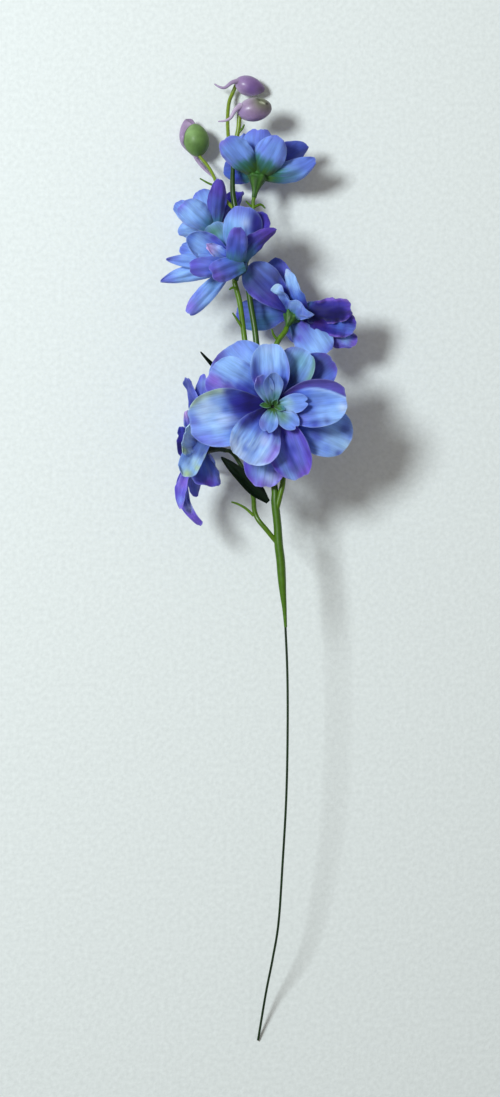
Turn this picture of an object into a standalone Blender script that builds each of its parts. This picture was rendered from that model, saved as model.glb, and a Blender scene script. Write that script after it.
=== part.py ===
# Artificial delphinium spray lying on a surface: six fabric blooms and three moulded buds
# on a plastic stem that is threaded on a lacquered wire. The wire's tip and the lowest
# petals touch the surface and hold the flower head up. +Y runs along the stem to the buds,
# +X to the right of it and +Z up off the surface. Places in the tables are in millimetres
# from the middle of the spray, at the surface; the last function centres the whole.

import math

import bpy
import numpy as np

MM = 0.001
GAP = 0.3  # clearance between pieces that seat on each other

WIRE_RADIUS = 0.62
WIRE_SIDES = 8
WIRE_STEP = 9.0  # spacing of the wire's sampled points
BORE_RADIUS = 0.86  # hole in the stem's lower end, round the wire
BORE_SLACK = 0.8  # room past the wire's inner end

BLADE = 0.8  # thickness of petals and leaves
HEART_BLADE = 0.7
CORE_RADIUS = 3.7  # small boss that a bloom's petals are rooted in
CORE_HEIGHT = 4.0
ROOT_RADIUS = 2.2  # distance of a petal's root from the bloom's axis
ROOT_RAISE = 0.8  # and its height over the boss's middle
HEART_STUD_RADIUS = 1.7
HEART_STUD_HEIGHT = 3.4
HEART_ROOT_RADIUS = 1.0
HEART_ROOM_RADII = (2.12, 3.3)  # room for a closed heart, kept free of petals
HEART_ROOM_TOP = 8.6

CALYX_RIM = 1.2
CALYX_FOOT_RADIUS = 1.3
HOOD_THICKNESS = 0.9
PEDICEL_RUN_UP = 2.4  # straight end of a pedicel below its calyx
STALK_INSET = 2.5  # a bud's stalk runs this far into the egg, and the egg is cut out of it

PETAL_ROWS = (0.0, 0.26, 0.54, 0.8, 1.0)
PETAL_COLUMNS = (-1.0, -0.36, 0.36, 1.0)
FINE_COLUMNS = (-1.0, -0.5, 0.0, 0.5, 1.0)
HEART_ROWS = (0.0, 0.4, 0.75, 1.0)
HEART_COLUMNS = (-1.0, 0.0, 1.0)
LEAF_ROWS = (0.0, 0.14, 0.3, 0.46, 0.62, 0.78, 0.9, 1.0)
LEAF_COLUMNS = (-1.0, 0.0, 1.0)
MAIN_BLOOM = 5
BUD_STATIONS = (0.03, 0.14, 0.32, 0.52, 0.72, 0.88, 0.97)
HOOD_COLUMNS = 8

# claw width, place of the widest point, end width, fullness of the end, set-back of its corners
OUTLINES = {
    "round": (0.26, 0.58, 0.55, 0.50, 0.20),
    "broad": (0.30, 0.58, 0.70, 0.50, 0.22),
    "point": (0.30, 0.48, 0.06, 0.90, 0.0),
    "tongue": (0.34, 0.66, 0.55, 0.50, 0.12),
    "heart": (0.34, 0.72, 0.66, 0.45, 0.06),
    "lance": (0.16, 0.50, 0.04, 0.85, 0.0),
    "leaf": (0.62, 0.40, 0.04, 0.85, 0.0),
}

GREEN_STEM = (0.032, 0.105, 0.010, 1.0)
GREEN_CALYX = (0.060, 0.150, 0.015, 1.0)
GREEN_LEAF = (0.005, 0.020, 0.004, 1.0)
GREEN_BUD = (0.150, 0.300, 0.080, 1.0)
GREEN_HEART = (0.200, 0.420, 0.430, 1.0)
WIRE_LACQUER = (0.020, 0.040, 0.020, 1.0)
PETAL_BLUE = (0.120, 0.180, 0.680, 1.0)
BUD_LILAC = (0.320, 0.170, 0.420, 1.0)

# The heart of a bloom that is closed: each small petal's turn, rise and share of the length.
CLOSED_HEART = ((4, 70.0, 1.0), (77, 74.0, 0.93), (149, 68.0, 1.04), (222, 73.0, 0.97),
                (291, 71.0, 0.9))


def closed_heart(length):
    return tuple((turn, rise, length * share) for turn, rise, share in CLOSED_HEART)


# Each bloom: its petals' root, the direction it faces, the calyx below the root (with the
# depth of its lobes), whether petals bend back round the calyx, its heart and its petals.
# Each petal: where its tip lies (x, y, z), width, curl along it (plus curls to its inner
# side), cup across it (plus lifts its edges to the inner side), tilt about its midrib (0
# has the inner side up, 180 down, plus turns it to the right of the way out), outline.
BLOOMS = {
    1: {
        "hub": (4.2, 197.0, 25.0), "axis": (0.10, 0.97, -0.06),
        "calyx_foot": (2.1, 183.4, 27.0), "calyx_radius": 5.2, "lobes": 0.0,
        "swept_back": False, "hearts": closed_heart(5.6),
        "petals": (
            (-13.6, 213.6, 40.0, 18.0, 40.0, 50.0, 155.0, "broad"),
            (15.0, 214.4, 42.0, 20.0, 45.0, 60.0, 180.0, "broad"),
            (5.0, 219.0, 30.0, 17.0, 25.0, 50.0, 180.0, "broad"),
            (-4.4, 218.0, 17.0, 9.0, 20.0, 40.0, 60.0, "round"),
            (-13.6, 197.6, 15.0, 17.0, 15.0, 40.0, 150.0, "broad"),
            (31.0, 210.4, 22.0, 18.0, 20.0, 45.0, -115.0, "broad"),
            (34.4, 202.2, 29.0, 20.0, 15.0, 45.0, -150.0, "point"),
            (19.0, 210.0, -1.5, 17.0, 25.0, 40.0, 0.0, "round"),
            (-4.0, 208.6, 2.0, 17.0, 20.0, 45.0, 20.0, "round"),
        ),
    },
    2: {
        "hub": (-18.8, 167.0, 27.0), "axis": (-0.50, 0.80, 0.10),
        "calyx_foot": (-15.7, 159.0, 28.0), "calyx_radius": 4.6, "lobes": 0.0,
        "swept_back": False, "hearts": closed_heart(4.5),
        "petals": (
            (-35.6, 179.2, 36.0, 18.0, 45.0, 55.0, 160.0, "broad"),
            (-26.1, 187.0, 31.0, 15.0, 30.0, 50.0, 180.0, "broad"),
            (-16.1, 192.0, 37.0, 12.5, 15.0, 40.0, -165.0, "point"),
            (-39.8, 180.0, 25.0, 15.0, 25.0, 45.0, 130.0, "round"),
            (-37.6, 165.6, 18.0, 13.0, 15.0, 40.0, 110.0, "round"),
            (-5.0, 188.6, 12.0, 15.0, 15.0, 40.0, -45.0, "round"),
            (-24.6, 185.0, 5.0, 16.0, 25.0, 45.0, 0.0, "round"),
            (-34.0, 174.0, -1.5, 15.0, 10.0, 35.0, 10.0, "round"),
        ),
    },
    3: {
        "hub": (-5.9, 147.0, 45.0), "axis": (-0.36, 0.62, 0.62),
        "calyx_foot": (-7.2, 140.0, 38.0), "calyx_radius": 3.7, "lobes": 0.0,
        "swept_back": False, "hearts": closed_heart(4.5),
        "petals": (
            (-5.2, 176.4, 50.0, 20.0, 40.0, 50.0, 170.0, "broad"),
            (5.4, 174.6, 44.0, 15.0, 30.0, 40.0, -30.0, "broad"),
            (-5.1, 164.0, 63.0, 11.5, 30.0, 45.0, 180.0, "point"),
            (13.6, 164.4, 51.0, 12.0, 35.0, 40.0, -150.0, "point"),
            (-18.8, 139.4, 60.0, 12.0, 50.0, 50.0, 180.0, "round"),
            (-31.0, 144.0, 55.0, 11.0, 30.0, 50.0, 180.0, "round"),
            (-43.4, 149.0, 47.0, 9.5, 15.0, 40.0, 170.0, "point"),
            (-46.4, 138.0, 43.0, 10.5, -20.0, 40.0, 160.0, "point"),
            (-32.1, 121.8, 38.8, 10.0, -22.0, 42.0, 168.0, "tongue"),
            (-32.2, 160.6, 50.0, 17.0, 50.0, 55.0, 0.0, "broad"),
            (-36.4, 155.2, 44.0, 14.0, 30.0, 50.0, 0.0, "round"),
            (-21.0, 168.0, 38.0, 17.0, 35.0, 50.0, 0.0, "round"),
        ),
    },
    4: {
        "hub": (22.4, 122.0, 33.0), "axis": (0.42, 0.76, -0.48),
        "calyx_foot": (19.0, 114.4, 37.6), "calyx_radius": 4.1, "lobes": 0.22,
        "swept_back": True, "hearts": closed_heart(4.6),
        "petals": (
            (-1.6, 146.8, 40.0, 21.0, 14.0, 8.0, -173.0, "broad"),
            (12.0, 152.0, 24.0, 15.0, 10.0, 35.0, 165.0, "round"),
            (18.7, 146.0, 38.0, 11.0, 20.0, 45.0, 110.0, "round"),
            (11.9, 136.0, 44.0, 10.0, 10.0, 35.0, 160.0, "round"),
            (-7.3, 122.5, 22.0, 18.0, -20.0, 25.0, 180.0, "broad"),
            (38.4, 100.4, 37.0, 20.0, -23.0, 26.0, 177.0, "broad"),
            (52.6, 123.6, 42.0, 14.0, 10.0, 35.0, -150.0, "broad"),
            (55.0, 115.5, 36.0, 16.0, 0.0, 35.0, 180.0, "broad"),
            (55.8, 107.4, 30.0, 14.0, -10.0, 35.0, 170.0, "broad"),
            (18.0, 143.0, 10.0, 16.0, 15.0, 40.0, 170.0, "round"),
            (43.0, 124.0, -1.5, 17.0, 10.0, 35.0, 180.0, "round"),
            (30.0, 110.0, -1.5, 16.0, -5.0, 30.0, 180.0, "round"),
        ),
    },
    5: {
        "hub": (11.5, 72.2, 58.0), "axis": (0.03, 0.05, 1.0),
        "calyx_foot": (12.4, 69.8, 48.2), "calyx_radius": 4.6, "lobes": 0.0,
        "swept_back": False,
        "hearts": ((6, 27.0, 19.0), (-43, 25.0, 17.5), (-104, 30.0, 15.5),
                   (119, 40.0, 20.0), (88, 43.0, 20.5)),
        "petals": (
            (9.1, 104.6, 70.0, 21.5, -35.0, 35.0, 0.0, "broad"),
            (-20.4, 92.1, 62.0, 24.0, -20.0, 20.0, 6.0, "broad"),
            (-5.1, 105.3, 60.0, 23.0, -10.0, 20.0, 6.0, "broad"),
            (-31.3, 68.0, 64.0, 31.0, -20.0, 30.0, 6.0, "broad"),
            (-6.1, 43.4, 68.0, 26.0, -35.0, 30.0, 6.0, "broad"),
            (6.7, 31.0, 56.0, 24.0, -10.0, 20.0, 6.0, "broad"),
            (26.0, 35.2, 65.0, 23.0, -25.0, 25.0, 6.0, "broad"),
            (51.2, 52.0, 56.0, 27.0, -20.0, 20.0, 6.0, "broad"),
            (49.5, 75.4, 69.0, 28.0, -25.0, 40.0, 0.0, "broad"),
            (28.5, 103.1, 64.0, 21.0, -20.0, 25.0, 0.0, "broad"),
            (43.5, 95.0, 56.0, 22.0, -5.0, 20.0, 6.0, "round"),
        ),
    },
    6: {
        "hub": (-23.9, 53.3, 36.0), "axis": (-0.98, 0.05, 0.15),
        "calyx_foot": (-12.5, 50.9, 37.0), "calyx_radius": 4.2, "lobes": 0.0,
        "swept_back": True, "hearts": closed_heart(5.2),
        "petals": (
            (-33.0, 88.6, 42.0, 9.0, 10.0, 40.0, -50.0, "round"),
            (-21.7, 90.6, 44.0, 11.0, -15.0, 40.0, -50.0, "round"),
            (-34.4, 61.2, 55.0, 13.0, 15.0, 34.0, -8.0, "point"),
            (-37.6, 42.0, 50.0, 12.0, 20.0, 40.0, 60.0, "round"),
            (-32.6, 37.6, 61.0, 11.5, 10.0, 30.0, 10.0, "broad"),
            (-20.2, 32.0, 50.6, 17.0, -10.0, 30.0, 150.0, "broad"),
            (-36.2, 20.8, 42.0, 10.0, -14.0, 30.0, 70.0, "round"),
            (-25.9, 11.8, 38.0, 12.0, -36.0, 35.0, 64.0, "tongue"),
            (-27.6, 27.4, 20.0, 13.0, -10.0, 40.0, 60.0, "round"),
            (-30.0, 61.0, -2.0, 18.0, 0.0, 25.0, 0.0, "round"),
            (-27.0, 41.0, -2.0, 18.0, 0.0, 25.0, 0.0, "round"),
            (-26.0, 74.6, 12.0, 15.0, -5.0, 35.0, -60.0, "round"),
        ),
    },
}

WIRE_ROUTE = (
    (4.3, -261.6, 0.62), (8.4, -235.0, 11.0), (11.8, -216.0, 20.5), (14.9, -195.4, 29.0),
    (16.9, -164.0, 37.0), (18.7, -130.4, 42.0), (19.4, -99.2, 44.6), (19.3, -65.4, 46.0),
    (18.0, -35.6, 46.8), (16.6, -15.0, 47.0), (15.4, -4.0, 47.0),
)

# Routes through the stem's parts: each point is x, y, z and the radius there.
MAIN_STEM = (
    (18.2, -37.4, 46.8, 1.15), (17.7, -30.0, 46.8, 1.35), (17.1, -24.0, 46.9, 1.95),
    (15.8, -6.0, 47.0, 2.15), (14.8, 2.0, 47.0, 2.1), (14.2, 12.0, 47.0, 1.85),
    (12.9, 24.0, 47.0, 1.8), (12.7, 31.0, 47.0, 1.55), (9.0, 52.0, 46.4, 1.5),
    (5.0, 80.0, 44.0, 1.45), (3.1, 108.6, 40.6, 1.4), (0.3, 127.0, 37.2, 1.35),
    (-1.6, 140.4, 34.6, 1.3), (-4.4, 162.0, 31.6, 1.2), (-8.8, 184.6, 28.6, 1.05),
    (-8.9, 202.0, 26.0, 0.9),
)
PEDICELS = {
    1: ((-2.4, 147.0, 33.6, 1.0), (1.2, 160.0, 31.0, 0.9), (1.8, 170.0, 29.0, 0.85)),
    2: ((-3.2, 153.0, 32.8, 1.1), (-9.0, 153.0, 30.2, 1.1)),
    3: ((4.6, 82.0, 43.8, 1.2), (-0.6, 96.0, 43.8, 1.25), (-2.8, 108.6, 42.6, 1.25),
        (-5.2, 127.0, 38.2, 1.25)),
    4: ((5.9, 74.0, 45.0, 1.2), (9.8, 92.0, 42.0, 1.2), (13.8, 106.0, 40.0, 1.2)),
    5: ((13.2, 19.0, 47.2, 1.4), (15.6, 28.0, 47.8, 1.3), (17.0, 35.0, 47.8, 1.25),
        (17.0, 50.0, 46.0, 1.2), (14.6, 63.0, 44.6, 1.2)),
    6: ((13.6, 3.4, 47.0, 1.1), (8.2, 10.0, 47.4, 1.1), (4.1, 15.0, 46.6, 1.1),
        (2.2, 20.0, 44.6, 1.1), (1.6, 27.0, 41.6, 1.05), (-1.6, 37.0, 38.0, 1.0),
        (-6.4, 46.0, 36.6, 0.95)),
}
BUD_STALKS = {
    1: ((-8.9, 199.0, 26.4, 0.9), (-11.2, 214.4, 21.0, 0.85), (-11.8, 227.1, 13.0, 0.85),
        (-11.1, 236.4, 7.0, 0.85), (-9.4, 241.3, 4.8, 0.85)),
    2: ((-8.9, 199.0, 26.4, 0.9), (-7.6, 212.0, 25.6, 1.05), (-6.0, 220.0, 25.6, 1.05)),
    3: ((-8.0, 177.0, 29.4, 0.9), (-14.6, 184.9, 24.0, 0.85), (-20.7, 199.3, 15.0, 0.75)),
}
BRACTS = (
    ((1.9, 17.0, 46.0, 0.7), (-2.4, 20.8, 46.0, 0.6), (-6.4, 23.0, 46.6, 0.5),
     (-9.6, 24.0, 47.6, 0.35)),
    ((15.0, 107.8, 39.8, 0.7), (12.6, 110.0, 40.6, 0.6), (11.2, 113.6, 42.0, 0.35)),
    ((-3.5, 113.6, 41.6, 0.7), (-6.4, 118.0, 42.8, 0.6), (-9.0, 121.8, 44.4, 0.35)),
    ((-6.6, 134.6, 37.8, 0.7), (-9.0, 135.4, 38.0, 0.55), (-10.8, 134.2, 38.6, 0.35)),
    ((2.0, 178.4, 27.8, 0.65), (5.6, 179.8, 27.2, 0.55), (8.0, 178.0, 26.0, 0.35)),
    ((2.0, 177.6, 27.8, 0.6), (-0.2, 179.6, 28.4, 0.5), (-2.2, 181.4, 29.2, 0.35)),
    ((1.8, 168.0, 29.4, 0.6), (5.0, 169.2, 29.0, 0.5), (8.6, 170.8, 28.4, 0.35)),
    ((-16.7, 189.9, 21.2, 0.6), (-21.3, 191.5, 21.0, 0.5), (-26.3, 194.3, 20.6, 0.35)),
    ((-6.2, 217.4, 25.6, 0.6), (-4.0, 219.6, 26.6, 0.5), (-3.0, 221.4, 28.0, 0.35)),
)

LEAVES = {
    "leaf_lower": {"root": (9.4, 24.0, 46.0), "tip": (-15.0, 47.3, 43.0), "width": 8.8,
                   "curl": -14.0, "cup": 20.0, "tilt": 10.0, "outline": "leaf"},
    "leaf_upper": {"root": (3.7, 77.4, 42.95), "tip": (-25.8, 102.1, 38.0), "width": 7.0,
                   "curl": 30.0, "cup": 25.0, "tilt": 40.0, "outline": "lance"},
}

# Buds: base end of the egg, direction of its long axis, back side (where the hood lies),
# how far round the hood reaches to each side, how far it stands off at the egg's tip, the
# stalk's distance from the egg (past the hood on bud 2), and the spur's route.
BUDS = {
    1: {"base": (-7.7, 247.2, 5.7), "along": (1.0, -0.28, -0.02), "back": (0.05, 0.6, 0.8),
        "reach": 124.0, "stand_off": 0.0, "length": 15.6, "radius": 4.9, "seat": GAP,
        "spur": ((-5.4, 247.6, 7.6, 1.6), (-9.3, 246.6, 9.8, 1.1), (-13.3, 243.7, 10.2, 0.8),
                 (-16.2, 244.1, 10.2, 0.6), (-18.8, 245.7, 10.0, 0.35))},
    2: {"base": (-5.6, 228.6, 26.0), "along": (0.97, 0.16, -0.06), "back": (-0.15, -0.50, 0.86),
        "reach": 118.0, "stand_off": 0.0, "length": 16.8, "radius": 5.8,
        "seat": 2 * GAP + HOOD_THICKNESS,
        "spur": ((-4.6, 231.4, 28.6, 1.8), (-7.8, 228.6, 30.0, 1.15), (-10.0, 224.8, 30.2, 0.85),
                 (-13.0, 223.2, 30.2, 0.6), (-16.6, 222.8, 30.0, 0.35))},
    3: {"base": (-27.1, 207.2, 10.8), "along": (-0.14, 0.99, 0.02), "back": (-0.68, 0.12, -0.72),
        "reach": 66.0, "stand_off": 2.4, "length": 17.4, "radius": 6.6, "seat": GAP,
        "spur": ((-28.9, 210.4, 7.4, 1.7), (-26.6, 206.9, 6.0, 1.1), (-22.7, 202.7, 5.6, 0.8),
                 (-17.9, 197.9, 5.6, 0.35))},
}


def unit(vector):
    return np.asarray(vector, float) / np.linalg.norm(vector)


def clear_scene():
    for old in list(bpy.data.objects):
        bpy.data.objects.remove(old, do_unlink=True)


def surface(name, colour, roughness):
    material = bpy.data.materials.new(name)
    material.use_nodes = True
    shader = material.node_tree.nodes["Principled BSDF"]
    shader.inputs["Base Color"].default_value = colour
    shader.inputs["Roughness"].default_value = roughness
    shader.inputs["Metallic"].default_value = 0.0
    return material


def solid(name, points, faces, material=None):
    """One mesh object from points in millimetres."""
    mesh = bpy.data.meshes.new(name)
    mesh.from_pydata([tuple(MM * value for value in point) for point in points], [], faces)
    if material is not None:
        mesh.materials.append(material)
    mesh.shade_smooth()
    mesh.set_sharp_from_angle(angle=math.radians(40))
    piece = bpy.data.objects.new(name, mesh)
    bpy.context.scene.collection.objects.link(piece)
    return piece


def merged(name, pieces, material, cutters=()):
    """Fuses the pieces in one Boolean union, then cuts the cutters out of them."""
    body, rest = pieces[0], pieces[1:]
    body.name = name
    groups = []
    for operation, members in (("UNION", rest), ("DIFFERENCE", cutters)):
        if not members:
            continue
        group = bpy.data.collections.new(name + "_" + operation.lower())
        for member in members:
            group.objects.link(member)
        boolean = body.modifiers.new(operation.lower(), "BOOLEAN")
        boolean.operation = operation
        boolean.solver = "MANIFOLD"
        boolean.operand_type = "COLLECTION"
        boolean.collection = group
        groups.append(group)
    depsgraph = bpy.context.evaluated_depsgraph_get()
    mesh = bpy.data.meshes.new_from_object(body.evaluated_get(depsgraph))
    body.modifiers.clear()
    body.data = mesh
    mesh.name = name
    mesh.materials.clear()
    mesh.materials.append(material)
    for group in groups:
        for member in list(group.objects):
            bpy.data.objects.remove(member, do_unlink=True)
        bpy.data.collections.remove(group)
    return body


def smooth_route(points, count):
    """Evenly spaced points on a smooth curve through the route's own points."""
    points = np.asarray(points, float)
    before = 2 * points[0] - points[1]
    after = 2 * points[-1] - points[-2]
    padded = np.vstack([before, points, after])
    fine = [points[0]]
    for index in range(1, len(padded) - 2):
        p0, p1, p2, p3 = padded[index - 1:index + 3]
        for t in np.linspace(0, 1, 13)[1:]:
            fine.append(0.5 * (2 * p1 + (p2 - p0) * t + (2 * p0 - 5 * p1 + 4 * p2 - p3) * t**2
                               + (3 * p1 - p0 - 3 * p2 + p3) * t**3))
    fine = np.array(fine)
    steps = np.linalg.norm(np.diff(fine[:, :3], axis=0), axis=1)
    along = np.concatenate([[0], np.cumsum(steps)])
    places = np.linspace(0, along[-1], count)
    return np.column_stack([np.interp(places, along, fine[:, k]) for k in range(fine.shape[1])])


def tube(centres, radii, sides, lobes=0.0, lobe_count=5):
    """Closed tube along the centres; lobes flare its last ring into that many points."""
    centres = np.asarray(centres, float)
    tangents = np.gradient(centres, axis=0)
    tangents /= np.linalg.norm(tangents, axis=1)[:, None]
    side = unit(np.cross(tangents[0], (0.31, 0.17, 0.93)))
    points, faces = [], []
    last = len(centres) - 1
    for index, (centre, tangent, radius) in enumerate(zip(centres, tangents, radii)):
        side = unit(side - (side @ tangent) * tangent)
        up = np.cross(tangent, side)
        for step in range(sides):
            angle = 2 * math.pi * (step + 0.5) / sides
            flare = 1 + (lobes * math.cos(lobe_count * angle) if index >= last - 1 else 0)
            points.append(centre + radius * flare * (math.cos(angle) * side + math.sin(angle) * up))
    for ring in range(last):
        for step in range(sides):
            a, b = ring * sides + step, ring * sides + (step + 1) % sides
            faces.append((a, b, b + sides, a + sides))
    faces.append(tuple(reversed(range(sides))))
    faces.append(tuple(last * sides + step for step in range(sides)))
    return points, faces


def blade(grid, thickness):
    """A sheet of even thickness round a grid of mid-surface points, in triangles."""
    rows, columns = grid.shape[:2]
    along = np.gradient(grid, axis=0)
    across = np.gradient(grid, axis=1)
    normals = np.cross(along, across)
    normals /= np.linalg.norm(normals, axis=2)[:, :, None]
    top = (grid + normals * thickness / 2).reshape(-1, 3)
    bottom = (grid - normals * thickness / 2).reshape(-1, 3)
    points = np.vstack([top, bottom])
    points[:, 2] = np.maximum(points[:, 2], 0.0)
    under = rows * columns
    faces = []
    for r in range(rows - 1):
        for c in range(columns - 1):
            a, b = r * columns + c, r * columns + c + 1
            d, e = a + columns, b + columns
            if c < (columns - 1) / 2:
                halves = ((a, d, e), (a, e, b))
            else:
                halves = ((a, d, b), (b, d, e))
            for one, two, three in halves:
                faces.append((one, two, three))
                faces.append((one + under, three + under, two + under))
    rim = [c for c in range(columns)]
    rim += [r * columns + columns - 1 for r in range(1, rows)]
    rim += [(rows - 1) * columns + c for c in range(columns - 2, -1, -1)]
    rim += [r * columns for r in range(rows - 2, 0, -1)]
    for index, a in enumerate(rim):
        b = rim[(index + 1) % len(rim)]
        faces.append((a, b, b + under))
        faces.append((a, b + under, a + under))
    return points, faces


def half_width(t, outline):
    """Share of a petal's full half-width at t, from 0 at its root to 1 at its tip."""
    claw, widest, end, fullness, _ = OUTLINES[outline]
    if t < widest:
        return claw + (1 - claw) * math.sin(math.pi / 2 * t / widest) ** 1.2
    return end + (1 - end) * (1 - ((t - widest) / (1 - widest)) ** 2) ** fullness


def midrib(curl, count=41):
    """Arc from (0, 0) to (1, 0) that turns by curl degrees, with its tangents' angles."""
    angles = math.radians(curl) * (np.linspace(0, 1, count) - 0.5)
    steps = np.column_stack([np.cos(angles), np.sin(angles)])[:-1]
    path = np.vstack([[0, 0], np.cumsum(steps, axis=0)])
    scale = np.linalg.norm(path[-1])
    return path / scale, angles


def petal_grid(root, tip, width, curl, cup, tilt, outline, rows, columns, floor,
               level=(0.0, 0.0, 1.0)):
    """Mid-surface of a petal or leaf from root to tip; at no tilt its inner side is level."""
    root, tip = np.asarray(root, float), np.asarray(tip, float)
    chord = np.linalg.norm(tip - root)
    ahead = (tip - root) / chord
    up = unit(level - (level @ ahead) * ahead)
    side = np.cross(ahead, up)
    turned = math.radians(tilt)
    up, side = (math.cos(turned) * up + math.sin(turned) * side,
                math.cos(turned) * side - math.sin(turned) * up)
    path, angles = midrib(curl)
    places = np.linspace(0, 1, len(path))
    set_back = OUTLINES[outline][4]
    bow = math.radians(cup) if abs(cup) > 1 else math.radians(1)
    grid = np.zeros((len(rows), len(columns), 3))
    for r, t in enumerate(rows):
        half = width / 2 * half_width(t, outline)
        for c, v in enumerate(columns):
            u = t - set_back * v * v * t**3
            ahead_share = np.interp(u, places, path[:, 0])
            up_share = np.interp(u, places, path[:, 1])
            angle = np.interp(u, places, angles)
            lift = math.cos(angle) * up - math.sin(angle) * ahead
            sideways = half * math.sin(bow * v) / bow
            raised = half * (1 - math.cos(bow * v)) / bow
            grid[r, c] = (root + chord * (ahead_share * ahead + up_share * up)
                          + sideways * side + raised * lift)
    grid[:, :, 2] = np.maximum(grid[:, :, 2], floor)
    return grid


def bloom_frame(axis):
    """Two directions square to a bloom's axis, and the axis."""
    axis = unit(axis)
    guide = np.array((1.0, 0, 0)) if abs(axis[0]) < 0.8 else np.array((0, 1.0, 0))
    first = unit(guide - (guide @ axis) * axis)
    return first, np.cross(axis, first), axis


def bloom_petals(name, design, columns, material):
    """All of a bloom's petals, rooted in a small boss."""
    hub, axis = np.asarray(design["hub"], float), unit(design["axis"])
    boss_ends = [hub - axis * CORE_HEIGHT / 2, hub + axis * CORE_HEIGHT / 2]
    pieces = [solid(name, *tube(boss_ends, (CORE_RADIUS, CORE_RADIUS), 8))]
    for x, y, z, width, curl, cup, tilt, outline in design["petals"]:
        tip = np.array((x, y, z))
        outward = unit((tip - hub) - ((tip - hub) @ axis) * axis)
        root = hub + ROOT_RADIUS * outward + ROOT_RAISE * axis
        grid = petal_grid(root, tip, width, curl, cup, tilt, outline,
                          PETAL_ROWS, columns, BLADE / 2)
        pieces.append(solid(name + "_blade", *blade(grid, BLADE)))
    cutters = []
    if design["swept_back"]:
        cutters.append(solid(name + "_calyx_room", *calyx_cone(design, GAP)))
    if design is not BLOOMS[MAIN_BLOOM]:
        low, high = hub + axis * (CORE_HEIGHT / 2 + GAP / 2), hub + axis * HEART_ROOM_TOP
        cutters.append(solid(name + "_heart_room", *tube([low, high], HEART_ROOM_RADII, 8)))
    return merged(name, pieces, material, cutters)


def bloom_heart(name, design, material):
    """Five small notched petals on a stud, seated on the boss."""
    hub = np.asarray(design["hub"], float)
    first, second, axis = bloom_frame(design["axis"])
    foot = hub + axis * (CORE_HEIGHT / 2 + GAP)
    stud = tube([foot, foot + axis * HEART_STUD_HEIGHT], (HEART_STUD_RADIUS,) * 2, 6)
    pieces = [solid(name, *stud)]
    for turn, rise, length in design["hearts"]:
        turned, lean = math.radians(turn), math.radians(rise)
        outward = math.cos(turned) * first + math.sin(turned) * second
        root = foot + axis * HEART_STUD_HEIGHT * 0.6 + outward * HEART_ROOT_RADIUS
        tip = root + length * (math.cos(lean) * outward + math.sin(lean) * axis)
        grid = petal_grid(root, tip, 0.5 * length, 20, 35, 0, "heart",
                          HEART_ROWS, HEART_COLUMNS, HEART_BLADE / 2, axis)
        pieces.append(solid(name + "_blade", *blade(grid, HEART_BLADE)))
    return merged(name, pieces, material)


def calyx_top(design):
    return np.asarray(design["hub"], float) - unit(design["axis"]) * (CORE_HEIGHT / 2 + GAP)


def calyx_cone(design, offset):
    """Cone between the pedicel's end and the boss, grown by the offset."""
    axis, top = unit(design["axis"]), calyx_top(design)
    foot = np.asarray(design["calyx_foot"], float)
    under = top - axis * CALYX_RIM
    flare = design["calyx_radius"] + offset
    route = [foot, foot + 0.35 * (under - foot), foot + 0.72 * (under - foot), under,
             top + axis * offset / 2]
    radii = (CALYX_FOOT_RADIUS + offset, 0.34 * flare, 0.66 * flare, 0.94 * flare, flare)
    return tube(route, radii, 10, design["lobes"])


def stem_wire(material):
    points = np.asarray(WIRE_ROUTE, float)
    length = np.linalg.norm(np.diff(points, axis=0), axis=1).sum()
    route = smooth_route(points, int(length / WIRE_STEP))
    return solid("stem_wire", *tube(route, [WIRE_RADIUS] * len(route), WIRE_SIDES), material)


def moulded_stem(material):
    """Main stem with every pedicel, stalk and bract, hollow over the wire."""
    route = smooth_route(MAIN_STEM, 26)
    pieces = [solid("moulded_stem", *tube(route[:, :3], route[:, 3], 8))]
    for number, points in PEDICELS.items():
        seat = np.asarray(BLOOMS[number]["calyx_foot"], float)
        toward = unit(calyx_top(BLOOMS[number]) - seat)
        radius = points[-1][3]
        start = (*(seat - (GAP + PEDICEL_RUN_UP) * toward), radius)
        end = (*(seat - GAP * toward), radius)
        branch = np.vstack([smooth_route((*points, start), 2 * len(points) + 1), end])
        pieces.append(solid("pedicel", *tube(branch[:, :3], branch[:, 3], 6)))
    for number, points in BUD_STALKS.items():
        design = BUDS[number]
        inside = np.asarray(design["base"], float) + STALK_INSET * unit(design["along"])
        branch = smooth_route((*points, (*inside, points[-1][3])), 2 * len(points) + 1)
        pieces.append(solid("bud_stalk", *tube(branch[:, :3], branch[:, 3], 6)))
    for points in BRACTS:
        branch = smooth_route(points, 4)
        pieces.append(solid("bract", *tube(branch[:, :3], branch[:, 3], 4)))
    wire = smooth_route(WIRE_ROUTE, 200)
    wire_end = wire[-1] + BORE_SLACK * unit(wire[-1] - wire[-2])
    inside = wire[wire[:, 1] > MAIN_STEM[0][1] - 2.0]
    bore = smooth_route(np.vstack([inside, wire_end]), 9)
    cutters = [solid("bore", *tube(bore, [BORE_RADIUS] * len(bore), WIRE_SIDES))]
    for design in BUDS.values():
        cutters.append(solid("seat", *egg(design, design["seat"])))
    return merged("moulded_stem", pieces, material, cutters)


def leaf(name, design, material):
    root, tip = design["root"], design["tip"]
    grid = petal_grid(root, tip, design["width"], design["curl"], design["cup"],
                      design["tilt"], design["outline"], LEAF_ROWS, LEAF_COLUMNS, BLADE / 2)
    return solid(name, *blade(grid, BLADE), material)


def bud_radius(t, radius):
    """Radius of the egg at t along it, blunter at its base than at its tip."""
    return radius * math.sin(math.pi * t**0.85) ** 0.62


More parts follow.
